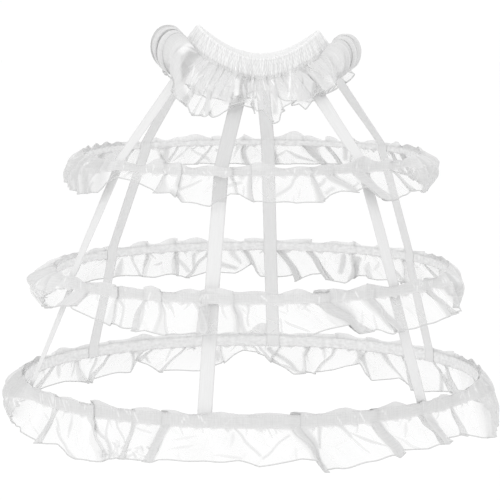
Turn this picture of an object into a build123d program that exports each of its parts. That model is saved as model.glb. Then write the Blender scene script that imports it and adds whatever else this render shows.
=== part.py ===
from build123d import *
import math
import os

# A crinoline cage: three sprung hoops hang on six ribbon tapes from an elastic waistband, and a gathered
# sheer ruffle is sewn round each hoop and under the waistband. Millimetres, +Z up, front towards -Y.
# The origin is the centre of the waist opening, level with the dips of its rim at front and back. The hoops
# hang a little to the left of it, and the waist is a little lower on its right.
# An azimuth is in degrees from the front towards the right. A level is a depth below the origin.

# Waistband: a folded tunnel, shirred on its elastic, whose rim and seam rise towards the two sides
waist_radius = 100.0
band_height = 34.0
rim_rise = 48.0
seam_rise = 53.0
seam_spread = 2.0
seam_side_spread = 19.0
waist_lean_height = 5.0
shirr_depth = 1.8
shirr_count = 42
elastic_thickness = 1.2

# Cloth, ribbon and the room between pieces that lie on each other
cloth_thickness = 1.0
ribbon_thickness = 0.8
layer_clearance = 0.3
same_point_distance = 0.001

# Tapes
tape_width = 24.0
tape_tuck_length = 5.0
span_steps = 4

# Hoops: a flat bone, its joiner at the back, and the ribbon that closes the channel on the inside
top_radius = 287.0
middle_radius = 337.0
bottom_radius = 393.0
top_level = 172.0
middle_level = 369.0
bottom_level = 556.0
bone_height = 8.0
bone_thickness = 1.2
bone_gap = 2.0
joiner_length = 32.0
joiner_wall = 0.4
joiner_clearance = 0.1
hoop_sway_width = 11.0
top_casing_height = 10.0
middle_casing_height = 15.0
bottom_casing_height = 20.0
casing_flats = 60

# Ruffles on the hoops: a header above the channel and a flounce below it
header_height = 5.0
header_reach = 5.0
top_drop = 46.0
middle_drop = 52.0
bottom_drop = 63.0
top_reach = 11.0
middle_reach = 15.0
bottom_reach = 20.0
bottom_lean_width = 6.0
hem_clearance = 2.0
hoop_gathers = 20

# Flounce under the waistband, which lies on the tapes in front and puffs out at the sides
flounce_length = 104.0
flounce_side_length = 68.0
flounce_heading_height = 6.0
flounce_reach = 14.0
flounce_side_reach = 38.0
flounce_lift_angle = 4.0
flounce_turn_angle = 45.0
flounce_gathers = 20

# Azimuths of each tape at the waist and at the top, middle and bottom hoops
tape_azimuths = {
    "front_tape": (-13.0, -10.0, -11.0, -11.0),
    "front_right_tape": (38.0, 40.0, 44.0, 45.0),
    "back_right_tape": (119.0, 125.0, 122.0, 124.0),
    "back_tape": (177.0, 174.0, 174.0, 174.0),
    "back_left_tape": (239.0, 222.0, 229.0, 228.0),
    "front_left_tape": (301.0, 309.0, 296.0, 288.0),
}

# The gathers are uneven: these shares repeat round each ruffle
gather_width_shares = (1.0, 0.7, 1.3, 0.85, 1.15)
gather_reach_shares = (1.0, 0.55, 0.85, 0.7, 0.95)
gather_drop_shares = (1.0, 0.94, 1.04, 0.97, 1.01)
outer_panel_share = 0.62
fold_share = 0.05
puff_length_share = 0.4
puff_reach_share = 0.8

# A gather has an outer panel and an inner panel. At a stitch line the folds between them pinch to points.
full_turn = 360.0
stitch_shares = (0, outer_panel_share, outer_panel_share, 1)
edge_shares = (fold_share, outer_panel_share - fold_share, outer_panel_share + fold_share, 1 - fold_share)
panel_sides = (1, 1, 0, 0)

# Layers of the waistband, counted out from its body side
elastic_in = cloth_thickness + layer_clearance
elastic_out = elastic_in + elastic_thickness
outer_layer_in = elastic_out + layer_clearance
outer_layer_out = outer_layer_in + cloth_thickness
tape_in = outer_layer_out + shirr_depth + layer_clearance

# Layers of a hoop, counted out and in from the middle of its bone
joiner_half = bone_thickness / 2 + joiner_clearance + joiner_wall
casing_out = joiner_half + layer_clearance
casing_in = casing_out + ribbon_thickness
ruffle_in = joiner_half + layer_clearance
hoop_middle = Vector(-hoop_sway_width, 0, 0)


def place(radius, azimuth, height):
    """The point at this distance from the axis, azimuth and height."""
    turn = math.radians(azimuth)
    return Vector(radius * math.sin(turn), -radius * math.cos(turn), height)


def sideways(azimuth):
    """How far round towards a side an azimuth is: 0 at front and back, 1 at left and right."""
    return math.sin(math.radians(azimuth)) ** 2


def waist_height(rise, azimuth):
    """Height of a line round the waist that rises this much towards both sides and leans to the right."""
    return rise * sideways(azimuth) - waist_lean_height * math.sin(math.radians(azimuth))


def seam_height(azimuth):
    """Height of the waistband's lower edge."""
    return waist_height(seam_rise, azimuth) - band_height


def band_depth(azimuth):
    """How far the waistband reaches down from its rim."""
    return waist_height(rim_rise, azimuth) - seam_height(azimuth)


def band_radius(azimuth, depth):
    """Radius of the waistband's body side at this depth below the rim."""
    spread = seam_spread + seam_side_spread * sideways(azimuth)
    return waist_radius + spread * depth / band_depth(azimuth)


def band_point(azimuth, depth, offset):
    """The point this far below the rim of the waistband and this far out from its body side."""
    height = waist_height(rim_rise, azimuth) - depth
    return place(band_radius(azimuth, depth) + offset, azimuth, height)


def ring_solid(rows):
    """A closed ring of flat facets through rows of points, which follow each other round its section.

    Each four-cornered patch is cut along its shorter diagonal, so layers that lie on each other fold alike.
    """
    facets = []
    for row, following in zip(rows, rows[1:] + rows[:1]):
        for i in range(len(row)):
            a, b, c, d = row[i - 1], row[i], following[i], following[i - 1]
            halves = ((a, b, c), (a, c, d)) if (c - a).length < (d - b).length else ((a, b, d), (b, c, d))
            for corners in halves:
                sides = [(corners[k] - corners[k - 1]).length for k in range(len(corners))]
                if min(sides) > same_point_distance:
                    facets.append(Face(Wire.make_polygon(corners)))
    return Solid(Shell(facets))


def turned_section(section, arc, middle_azimuth):
    """A section in the XZ plane turned round the axis through an arc, with its middle at this azimuth."""
    start = middle_azimuth - arc / 2 - full_turn / 4
    return Rot(0, 0, start) * revolve(Plane.XZ * section, Axis.Z, arc)


def waistband_casing():
    """The shirred cloth, folded over at the rim and open along the seam, with ridges on its outside."""
    count = 2 * shirr_count
    azimuths = [full_turn * i / count for i in range(count)]
    ridged = [outer_layer_out + shirr_depth * (i % 2) for i in range(count)]

    def row(depth_at, offsets):
        return [band_point(a, depth_at(a), offset) for a, offset in zip(azimuths, offsets)]

    def level(offset):
        return [offset] * count

    def at_rim(azimuth):
        return 0

    def under_fold(azimuth):
        return cloth_thickness

    return ring_solid([
        row(band_depth, ridged),
        row(at_rim, ridged),
        row(at_rim, level(0)),
        row(band_depth, level(0)),
        row(band_depth, level(cloth_thickness)),
        row(under_fold, level(cloth_thickness)),
        row(under_fold, level(outer_layer_in)),
        row(band_depth, level(outer_layer_in)),
    ])


def waist_elastic():
    """The flat elastic that fills the tunnel of the waistband."""
    count = 2 * shirr_count
    azimuths = [full_turn * i / count for i in range(count)]
    top = cloth_thickness + layer_clearance
    return ring_solid([
        [band_point(a, band_depth(a) - layer_clearance, elastic_out) for a in azimuths],
        [band_point(a, top, elastic_out) for a in azimuths],
        [band_point(a, top, elastic_in) for a in azimuths],
        [band_point(a, band_depth(a) - layer_clearance, elastic_in) for a in azimuths],
    ])


def gathers(count):
    """The start and width in degrees of each gather of a ruffle, with its reach and drop shares."""
    kinds = [i % len(gather_width_shares) for i in range(count)]
    total = sum(gather_width_shares[k] for k in kinds)
    start = 0
    found = []
    for k in kinds:
        width = full_turn * gather_width_shares[k] / total
        found.append((start, width, gather_reach_shares[k], gather_drop_shares[k]))
        start += width
    return found


def gather_row(count, shares, point_at):
    """One row of a ruffle: four points a gather, from a function of azimuth, reach and drop shares."""
    return [
        point_at(start + share * width, side * reach, drop)
        for start, width, reach, drop in gathers(count)
        for share, side in zip(shares, panel_sides)
    ]


def widest_panel_ratio(count):
    """How much further out than its flat panels the corners of a gathered ring lie."""
    widest = max(width for start, width, reach, drop in gathers(count)) * outer_panel_share
    return 1 / math.cos(math.radians(widest / 2))


def hoop_ruffle(radius, level, casing_height, drop, reach, lean):
    """The gathered strip round a hoop: header, channel and flounce, in panels between pinched folds."""
    seat = (radius + ruffle_in) * widest_panel_ratio(hoop_gathers)
    channel_top = casing_height / 2 - level
    channel_foot = channel_top - casing_height

    def rows(offset):
        def point(out, azimuth, height):
            return hoop_middle + place(seat + offset + out, azimuth, height)

        def header(azimuth, out, fall):
            return point(header_reach * out, azimuth, channel_top + header_height)

        def upper_stitch(azimuth, out, fall):
            return point(0, azimuth, channel_top)

        def lower_stitch(azimuth, out, fall):
            return point(0, azimuth, channel_foot)

        def hem(azimuth, out, fall):
            return point(lean + reach * out, azimuth, channel_foot - drop * fall)

        return [
            gather_row(hoop_gathers, edge_shares, header),
            gather_row(hoop_gathers, stitch_shares, upper_stitch),
            gather_row(hoop_gathers, stitch_shares, lower_stitch),
            gather_row(hoop_gathers, edge_shares, hem),
        ]

    return ring_solid(rows(cloth_thickness) + rows(0)[::-1])


def waist_ruffle():
    """The flounce sewn over the tape ends: a flat heading, then gathers on the slope of the tapes."""
    widest_seam = band_radius(full_turn / 4, band_depth(full_turn / 4)) + tape_in
    half_tape = math.asin(tape_width / 2 / widest_seam)
    tape_corner = widest_seam / math.cos(half_tape) - widest_seam
    over_tape = tape_in + ribbon_thickness + tape_corner + 2 * layer_clearance
    ratio = widest_panel_ratio(flounce_gathers)
    turn = math.radians(flounce_turn_angle)

    def seam_point(azimuth, above, offset, lift):
        depth = band_depth(azimuth) - above
        radius = (band_radius(azimuth, depth) + over_tape) * ratio + offset
        return place(radius, azimuth, seam_height(azimuth) + above + lift)

    def slope_point(azimuth, offset, length_share, out):
        side = sideways(azimuth)
        seam_radius = (band_radius(azimuth, band_depth(azimuth)) + over_tape) * ratio
        sway = hoop_sway_width * math.sin(math.radians(azimuth))
        run = top_radius - casing_in - seam_radius - sway
        drop = seam_height(azimuth) + top_level - top_casing_height / 2
        fall = math.atan2(drop, run) - math.radians(flounce_lift_angle)
        length = length_share * (flounce_length + (flounce_side_length - flounce_length) * side)
        rise = offset + out * (flounce_reach + (flounce_side_reach - flounce_reach) * side)
        radius = seam_radius + length * math.cos(fall) + rise * math.sin(fall)
        height = seam_height(azimuth) - length * math.sin(fall) + rise * math.cos(fall)
        return place(radius, azimuth, height)

    def rows(offset):
        def heading(azimuth, out, fall):
            return seam_point(azimuth, flounce_heading_height, offset, 0)

        def seam(azimuth, out, fall):
            return seam_point(azimuth, 0, offset * math.cos(turn), offset * math.sin(turn))

        def puff(azimuth, out, fall):
            return slope_point(azimuth, offset, puff_length_share, puff_reach_share * out)

        def hem(azimuth, out, fall):
            return slope_point(azimuth, offset, fall, out)

        return [
            gather_row(flounce_gathers, stitch_shares, heading),
            gather_row(flounce_gathers, stitch_shares, seam),
            gather_row(flounce_gathers, edge_shares, puff),
            gather_row(flounce_gathers, edge_shares, hem),
        ]

    return ring_solid(rows(cloth_thickness) + rows(0)[::-1])


def strip_solid(sections):
    """A strip of flat facets through four-cornered sections, listed inner corners first.

    Where the strip twists, its inner and outer faces crease along the same diagonal.
    """
    facets = [Face(Wire.make_polygon(sections[0])), Face(Wire.make_polygon(sections[-1]))]
    for near, far in zip(sections, sections[1:]):
        for i in range(len(near)):
            a, b, c, d = near[i - 1], near[i], far[i], far[i - 1]
            outer_side = i > 1
            halves = ((a, b, d), (b, c, d)) if outer_side else ((a, b, c), (a, c, d))
            facets.extend(Face(Wire.make_polygon(corners)) for corners in halves)
    return Solid(Shell(facets))


def tape(waist_azimuth, hoop_azimuths):
    """A ribbon sewn on the waistband, then straight from hoop to hoop on the inside of each casing."""

    def section(left, right, azimuth):
        through = place(ribbon_thickness, azimuth, 0)
        return [left, right, right + through, left + through]

    def between(near, far, share):
        return [start + (end - start) * share for start, end in zip(near, far)]

    seam_radius = band_radius(waist_azimuth, band_depth(waist_azimuth)) + tape_in
    half = math.degrees(math.asin(tape_width / 2 / seam_radius))
    flat_ratio = 1 / math.cos(math.radians(half))
    sections = []
    for above in (tape_tuck_length, 0):
        ends = []
        for azimuth in (waist_azimuth - half, waist_azimuth + half):
            radius = (band_radius(azimuth, band_depth(azimuth) - above) + tape_in) * flat_ratio
            ends.append(place(radius, azimuth, seam_height(azimuth) + above))
        sections.append(section(*ends, waist_azimuth))
    for (radius, level, casing_height), azimuth in zip(hoop_seats, hoop_azimuths):
        seat = (radius - casing_in) * math.cos(math.pi / casing_flats) - layer_clearance
        inner = math.sqrt(seat ** 2 - (tape_width / 2) ** 2) - ribbon_thickness
        half_across = place(tape_width / 2, azimuth + full_turn / 4, 0)
        middle = hoop_middle + place(inner, azimuth, casing_height / 2 - level)
        upper = section(middle - half_across, middle + half_across, azimuth)
        lower = [corner - Vector(0, 0, casing_height) for corner in upper]
        last = sections[-1]
        sections.extend(between(last, upper, step / span_steps) for step in range(1, span_steps))
        sections.extend([upper, lower])
    return strip_solid(sections)


def bone(radius, level):
    """The flat sprung strip, bent to a ring whose two ends meet at the back."""
    arc = full_turn - math.degrees(bone_gap / radius)
    section = Pos(radius, -level) * Rectangle(bone_thickness, bone_height)
    return Pos(hoop_middle) * turned_section(section, arc, 0)


def joiner(radius, level):
    """The flat sleeve over both ends of a bone."""
    slot = Rectangle(bone_thickness + 2 * joiner_clearance, bone_height + 2 * joiner_clearance)
    sleeve = Rectangle(2 * joiner_half, bone_height + 2 * joiner_clearance + 2 * joiner_wall) - slot
    arc = math.degrees(joiner_length / radius)
    return Pos(hoop_middle) * turned_section(Pos(radius, -level) * sleeve, arc, full_turn / 2)


def casing(radius, level, height):
    """The ribbon that closes the bone channel inside a hoop, in short flats between its stitches."""
    azimuths = [full_turn * i / casing_flats for i in range(casing_flats)]
    corners = (
        (radius - casing_out, height / 2),
        (radius - casing_in, height / 2),
        (radius - casing_in, -height / 2),
        (radius - casing_out, -height / 2),
    )

    def row(wall, edge):
        return [hoop_middle + place(wall, azimuth, edge - level) for azimuth in azimuths]

    return ring_solid([row(wall, edge) for wall, edge in corners])


def tape_lean(hoop, next_hoop, drop):
    """How far out the tapes below a hoop have come at the hem of its ruffle, with room to clear them."""
    radius, level, casing_height = hoop
    next_radius, next_level, next_casing_height = next_hoop
    span = next_level - level - (casing_height + next_casing_height) / 2
    return (next_radius - radius) / span * drop * max(gather_drop_shares) + hem_clearance


top_hoop = (top_radius, top_level, top_casing_height)
middle_hoop = (middle_radius, middle_level, middle_casing_height)
bottom_hoop = (bottom_radius, bottom_level, bottom_casing_height)
hoop_seats = (top_hoop, middle_hoop, bottom_hoop)
ruffles = {
    "top": (top_drop, top_reach, tape_lean(top_hoop, middle_hoop, top_drop)),
    "middle": (middle_drop, middle_reach, tape_lean(middle_hoop, bottom_hoop, middle_drop)),
    "bottom": (bottom_drop, bottom_reach, bottom_lean_width),
}

nodes = {
    "waistband_casing": waistband_casing(),
    "waist_elastic": waist_elastic(),
    "waist_ruffle": waist_ruffle(),
}
for name, azimuths in tape_azimuths.items():
    nodes[name] = tape(azimuths[0], azimuths[1:])
for (name, ruffle), hoop in zip(ruffles.items(), hoop_seats):
    radius, level, casing_height = hoop
    nodes[name + "_bone"] = bone(radius, level)
    nodes[name + "_joiner"] = joiner(radius, level)
    nodes[name + "_casing"] = casing(*hoop)
    nodes[name + "_ruffle"] = hoop_ruffle(*hoop, *ruffle)

os.makedirs("parts", exist_ok=True)
for name, solid in nodes.items():
    export_step(solid, f"parts/{name}.step")
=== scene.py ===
# %% [markdown]
# # A crinoline cage, pale on white
# Three sprung hoops hang on six satin ribbons from a shirred elastic waistband, and a sheer gathered ruffle is sewn
# round each hoop and under the waistband. The solids of the part come first: they are the frame that every piece of
# cloth here is fitted to, so nothing has to be placed by eye.

# %% Load the frame
import math

import bpy
import numpy as np
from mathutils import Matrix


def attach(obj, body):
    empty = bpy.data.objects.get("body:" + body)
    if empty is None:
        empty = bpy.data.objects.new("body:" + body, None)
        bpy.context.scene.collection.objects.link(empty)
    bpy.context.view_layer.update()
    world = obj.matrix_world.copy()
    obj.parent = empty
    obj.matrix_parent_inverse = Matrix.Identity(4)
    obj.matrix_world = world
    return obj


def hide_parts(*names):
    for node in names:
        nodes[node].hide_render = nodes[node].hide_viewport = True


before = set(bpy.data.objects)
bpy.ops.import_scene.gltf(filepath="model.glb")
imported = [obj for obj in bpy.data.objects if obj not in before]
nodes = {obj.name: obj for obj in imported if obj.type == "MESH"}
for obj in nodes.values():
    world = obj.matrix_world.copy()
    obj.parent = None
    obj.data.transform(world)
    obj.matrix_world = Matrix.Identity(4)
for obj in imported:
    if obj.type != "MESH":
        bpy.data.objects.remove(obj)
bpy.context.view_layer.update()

# %% [markdown]
# ## Sizes
# The cloth follows the same sizes as the solids. They are in millimetres, as a maker would note them, and turn to
# metres only when a mesh is written. An azimuth is counted from the front towards the right. Each hoop has its radius,
# its level, half the height of its channel, how far its flounce drops, billows and leans out, and the tone of its
# band, which is painted shade, darkest on the bottom band. Each tape has its azimuth at the waist and at the three
# hoops.

# %% Sizes of the object, in millimetres
MM = 0.001
TURN = 2 * math.pi
WAIST_RADIUS, BAND_HEIGHT, RIM_RISE, SEAM_RISE, WAIST_LEAN = 100.0, 34.0, 48.0, 53.0, 5.0
SEAM_SPREAD, SEAM_SIDE_SPREAD = 2.0, 19.0
BAND_LAYERS, TAPE_IN_BAND = 3.8, 5.9
TAPE_WIDTH, TAPE_TUCK = 24.0, 5.0
CASING_OUT, CASING_IN, CASING_FLATS = 1.4, 2.2, 60
HOOP_MIDDLE = np.array([-11.0, 0.0, 0.0])
# The tone of each hoop is painted shade on its band.
HOOPS = {
    "top": dict(radius=287.0, level=-172.0, half=5.0, drop=46.0, reach=11.0, lean=15.0, tone=0.34),
    "middle": dict(radius=337.0, level=-369.0, half=7.5, drop=52.0, reach=15.0, lean=19.9, tone=0.36),
    "bottom": dict(radius=393.0, level=-556.0, half=10.0, drop=63.0, reach=20.0, lean=6.0, tone=0.24),
}
RUFFLE_WALL = 2.2
HEADER_HEIGHT, HEADER_FLARE = 5.0, 2.0
TAPES = {
    "front_tape": (-13.0, -10.0, -11.0, -11.0),
    "front_right_tape": (38.0, 40.0, 44.0, 45.0),
    "back_right_tape": (119.0, 125.0, 122.0, 124.0),
    "back_tape": (177.0, 174.0, 174.0, 174.0),
    "back_left_tape": (239.0, 222.0, 229.0, 228.0),
    "front_left_tape": (301.0, 309.0, 296.0, 288.0),
}
print("hoops:", {name: hoop["radius"] for name, hoop in HOOPS.items()})

# %% [markdown]
# ## Helpers for surfaces
# Each piece is a grid of points worked out as whole numpy arrays: rows run across the piece and columns along it.
# Blender's own modifiers could bend and thicken a plane, but a formula keeps every fold where the photograph has it.

# %% Points and angles


def around(radius, azimuth, height):
    """Points at distance radius from the axis: x = r sin a, y = -r cos a, z = height, all broadcast together."""
    radius, azimuth, height = np.broadcast_arrays(radius, azimuth, height)
    return np.stack([radius * np.sin(azimuth), -radius * np.cos(azimuth), height], axis=-1)


def smooth(x):
    """0 below 0, 1 above 1, and the curve 3x^2 - 2x^3 between them."""
    x = np.clip(x, 0.0, 1.0)
    return x * x * (3.0 - 2.0 * x)


def signed(degrees):
    """An angle in degrees, brought between -180 and 180 by whole turns."""
    return (degrees + 180) % 360 - 180


def signed_degrees(turn):
    """A place round the ring in degrees, from -180 to 180 with 0 at the front."""
    return np.degrees((np.asarray(turn) + math.pi) % TURN - math.pi)


def paired(across, along):
    """Two arrays broadcast together and stacked as pairs, for a UV map."""
    return np.stack(np.broadcast_arrays(across, along), axis=-1)


print("front, right, back and left of the axis:", around(1.0, np.arange(4) / 4 * TURN, 0.0).round(3).tolist())

# %% Grids, meshes and pieces


def add_object(name, data):
    """A new object, linked to the scene."""
    made = bpy.data.objects.new(name, data)
    bpy.context.scene.collection.objects.link(made)
    return made


def add_piece(name, mesh):
    """A piece of the cage from a mesh. Nothing moves on its own, so every piece rides on the root."""
    piece = add_object(name, mesh)
    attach(piece, "root")
    return piece


def quads_of(index):
    """The four corners of each patch of a grid of indices, turned so that rows going down face outwards."""
    return np.stack([index[:-1, :-1], index[1:, :-1], index[1:, 1:], index[:-1, 1:]], axis=-1).reshape(-1, 4)


def grid_piece(name, points, ring=False, tube=False, capped=False, uv=None, marks=None):
    """A mesh from a grid of points in mm: ring joins the last column to the first, tube the last row to the first.

    capped closes the two ends of a tube whose first half of rows lies against its second half. uv is in metres of
    cloth with one column more than a ring has, and marks are numbers per point that a material can read.
    """
    rows, columns = points.shape[:2]
    index = np.arange(rows * columns).reshape(rows, columns)
    if ring:
        index = np.hstack([index, index[:, :1]])
    if tube:
        index = np.vstack([index, index[:1]])
    quads = quads_of(index)
    if capped:
        side = np.arange(rows // 2 - 1)
        for column, turned in ((0, False), (columns - 1, True)):
            ends = np.stack([side, side + 1, rows - 2 - side, rows - 1 - side], axis=-1) * columns + column
            quads = np.vstack([quads, ends[:, ::-1] if turned else ends])
    mesh = bpy.data.meshes.new(name)
    mesh.vertices.add(rows * columns)
    mesh.vertices.foreach_set("co", (points * MM).astype(np.float32).ravel())
    mesh.loops.add(quads.size)
    mesh.loops.foreach_set("vertex_index", quads.astype(np.int32).ravel())
    mesh.polygons.add(len(quads))
    mesh.polygons.foreach_set("loop_start", np.arange(0, quads.size, 4, dtype=np.int32))
    mesh.polygons.foreach_set("use_smooth", np.ones(len(quads), dtype=bool))
    if uv is not None:
        corners = quads_of(np.arange(uv.shape[0] * uv.shape[1]).reshape(uv.shape[:2]))
        flat = np.zeros((quads.size, 2), dtype=np.float32)
        flat[:corners.size] = uv.reshape(-1, 2)[corners.ravel()]
        mesh.uv_layers.new(name="cloth").data.foreach_set("uv", flat.ravel())
    for mark, values in (marks or {}).items():
        layer = mesh.attributes.new(mark, "FLOAT", "POINT")
        layer.data.foreach_set("value", np.broadcast_to(values, (rows, columns)).astype(np.float32).ravel())
    mesh.update(calc_edges=True)
    return add_piece(name, mesh)


def finish_piece(piece, slot, *materials):
    """Gives a piece its materials and prints its size; the slot is not used."""
    for material in materials:
        piece.data.materials.append(material)
    print(piece.name, len(piece.data.polygons), "faces")
    return piece


print("corners of a grid of 2 by 3 points:", quads_of(np.arange(6).reshape(2, 3)).tolist())

# %% [markdown]
# Cloth is never quite even. A sum of a few sine waves in random directions gives a soft unevenness that closes up
# round a ring, because each wave goes round a whole number of times. The seed is fixed, so each run is the same.

# %% Unevenness of cloth


def ripples(turn, down, rounds, falls, count, seed):
    """Sine waves added up and divided by the root of their count, so most values lie between -1 and 1.

    Each wave goes round a whole number of times within rounds, and leans by a slope within falls as it goes down.
    """
    random = np.random.default_rng(seed)
    waves = random.integers(rounds[0], rounds[1] + 1, count) * random.choice([-1, 1], count)
    slopes = random.uniform(falls[0], falls[1], count)
    phases = random.uniform(0, TURN, count)
    total = sum(np.sin(m * turn + k * down + p) for m, k, p in zip(waves, slopes, phases))
    return total / math.sqrt(count)


def ring_ripples(turn, rounds, count, seed):
    """Ripples that are the same from top to bottom: they only go round."""
    return ripples(turn, 0.0, rounds, (0, 0), count, seed)


print("ripples span", float(np.ptp(ring_ripples(np.linspace(0, TURN, 500), (5, 20), 8, 1))))

# %% [markdown]
# ## Materials
# The cage is white polyester: organza, satin ribbon and thread, with flat bones in a plastic cover. In the photograph
# they are very pale greys. Each colour is written as the sRGB value that the eye would pick, and turned to linear.

# %% Colours and nodes


def linear(code):
    """An sRGB hex colour as linear RGBA: each channel c becomes ((c + 0.055) / 1.055)^2.4 above the toe."""
    channels = np.array([int(code[i:i + 2], 16) for i in (1, 3, 5)]) / 255
    values = np.where(channels <= 0.04045, channels / 12.92, ((channels + 0.055) / 1.055) ** 2.4)
    return (*values.tolist(), 1.0)


def node(tree, kind, settings=(), inputs=(), links=()):
    """Adds a node, sets its properties and its sockets, and links (own socket, other node, its socket)."""
    made = tree.nodes.new(kind)
    for key, value in dict(settings).items():
        setattr(made, key, value)
    for key, value in dict(inputs).items():
        made.inputs[key].default_value = value
    for socket, other, output in links:
        tree.links.new(other.outputs[output], made.inputs[socket])
    return made


def new_material(name, **sockets):
    """A material with its Principled shader set on the sockets, and its tree."""
    material = bpy.data.materials.new(name)
    material.use_nodes = True
    shader = material.node_tree.nodes["Principled BSDF"]
    for key, value in sockets.items():
        shader.inputs[key.replace("_", " ")].default_value = value
    return material, material.node_tree, shader


def tone_by(tree, shader, source, output, *stops):
    """Colours a surface by a value: hex colours at places from 0 to 1, linked to the shader's base colour."""
    tones = node(tree, "ShaderNodeValToRGB", links=[("Fac", source, output)])
    elements = tones.color_ramp.elements
    while len(elements) < len(stops):
        elements.new(0.5)
    for element, (place, code) in zip(elements, stops):
        element.position = place
        element.color = linear(code)
    tree.links.new(tones.outputs["Color"], shader.inputs["Base Color"])


print("the grey #E9E9E9 in linear light:", round(linear("#E9E9E9")[0], 3))

# %% [markdown]
# Organza is a sheer plain weave of fine twisted yarn. One layer hardly greys what is behind it, and it turns nearly
# opaque only where it is doubled, pleated or creased. A glass shader would be wrong, since nothing is refracted: the
# light goes through the holes of the weave. So the cloth is a plain surface with a low alpha. Two marks on the mesh
# steer it: crowding says where the threads lie close together, and on the waist flounce it also holds painted shade.
# The other mark is painted light and shade in the colour: painted shade in folds, layers, puffs and bands, and
# painted highlights along bright strokes. The threads are 0.2 mm apart, too fine to show, so the weave is drawn at
# about 1.5 mm.

# %% Organza
ORGANZA_WEAVE_MM, ORGANZA_CREASE_MM = 1.5, 26.0
THREAD_STRETCH, WEAVE_SPAN, WEAVE_UNEVEN = 0.06, (0.6, 1.4), (0.92, 1.08)
CREASE_EDGE, CREASE_PATCHES, CREASE_COVER = 0.05, (0.5, 0.66), 0.2
SHADE_TONE, PLAIN_TONE = 0.2, 0.44


def organza(name, thin, dense):
    """Sheer cloth whose alpha goes from thin to dense with the crowding mark, with streaks and fine creases.

    The creases are the borders of a cell pattern, as crisp cloth breaks into flat facets when it is crushed. They
    show in patches only. The colour follows the mark of painted shade and painted highlight.
    """
    material, tree, shader = new_material(name, Roughness=0.55, Specular_IOR_Level=0.25)
    cloth = node(tree, "ShaderNodeUVMap", {"uv_map": "cloth"})
    streaks = []
    for stretch in ((THREAD_STRETCH, 1.0, 1.0), (1.0, THREAD_STRETCH, 1.0)):
        scale = node(tree, "ShaderNodeMapping", inputs={"Scale": stretch}, links=[("Vector", cloth, "UV")])
        streaks.append(node(tree, "ShaderNodeTexNoise",
                            inputs={"Scale": 1 / (ORGANZA_WEAVE_MM * MM), "Detail": 1.0},
                            links=[("Vector", scale, "Vector")]))
    weave = node(tree, "ShaderNodeMath", {"operation": "ADD"},
                 links=[(0, streaks[0], "Fac"), (1, streaks[1], "Fac")])
    uneven = node(tree, "ShaderNodeMapRange",
                  inputs={"From Min": WEAVE_SPAN[0], "From Max": WEAVE_SPAN[1],
                          "To Min": WEAVE_UNEVEN[0], "To Max": WEAVE_UNEVEN[1]},
                  links=[("Value", weave, "Value")])
    facets = node(tree, "ShaderNodeTexVoronoi", {"feature": "DISTANCE_TO_EDGE", "voronoi_dimensions": "2D"},
                  {"Scale": 1 / (ORGANZA_CREASE_MM * MM)}, [("Vector", cloth, "UV")])
    line = node(tree, "ShaderNodeMapRange",
                inputs={"From Min": 0.0, "From Max": CREASE_EDGE, "To Min": 1.0, "To Max": 0.0},
                links=[("Value", facets, "Distance")])
    where = node(tree, "ShaderNodeTexNoise", inputs={"Scale": 0.5 / (ORGANZA_CREASE_MM * MM), "Detail": 1.0},
                 links=[("Vector", cloth, "UV")])
    shown = node(tree, "ShaderNodeMapRange",
                 inputs={"From Min": CREASE_PATCHES[0], "From Max": CREASE_PATCHES[1],
                         "To Min": 0.0, "To Max": CREASE_COVER},
                 links=[("Value", where, "Fac")])
    creases = node(tree, "ShaderNodeMath", {"operation": "MULTIPLY"},
                   links=[(0, line, "Result"), (1, shown, "Result")])
    crowd = node(tree, "ShaderNodeAttribute", {"attribute_name": "crowding"})
    crushed = node(tree, "ShaderNodeMath", {"operation": "ADD"}, links=[(0, crowd, "Fac"), (1, creases, "Value")])
    cover = node(tree, "ShaderNodeMapRange",
                 inputs={"From Min": 0.0, "From Max": 1.0, "To Min": thin, "To Max": dense},
                 links=[("Value", crushed, "Value")])
    alpha = node(tree, "ShaderNodeMath", {"operation": "MULTIPLY", "use_clamp": True},
                 links=[(0, cover, "Result"), (1, uneven, "Result")])
    tree.links.new(alpha.outputs["Value"], shader.inputs["Alpha"])
    # Painted light and shade: this mark sets the colour, from painted shade at 0 to a painted highlight at 1.
    painted_shading = node(tree, "ShaderNodeAttribute", {"attribute_name": "painted_shading"})
    tone_by(tree, shader, painted_shading, "Fac",
            (0.0, "#D8D8D8"), (SHADE_TONE, "#E3E3E3"), (PLAIN_TONE, "#E9E9E9"), (1.0, "#FEFEFE"))
    bump = node(tree, "ShaderNodeBump", inputs={"Strength": 0.15, "Distance": 0.0004},
                links=[("Height", weave, "Value")])
    tree.links.new(bump.outputs["Normal"], shader.inputs["Normal"])
    return material


sheer_organza = organza("sheer_polyester_organza", 0.19, 0.96)
print("organza:", len(sheer_organza.node_tree.nodes), "nodes")

# %% [markdown]
# Satin ribbon has long floats on its face, which give a soft gloss across the ribbon, and a duller back. Face and
# back are two materials on the two sides of one strip. Fine lines along the ribbon stand for the warp. The front
# ribbon has painted shade down to the hem of the top ruffle, a greyer copy of the ribbon. The casing is a matt
# ribbon, mottled with painted shade of its puckers.

# %% Satin ribbon and the casing ribbon
SATIN_WARP_MM, CASING_PUCKER_SHADE_MM = 1.2, 5.0


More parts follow.
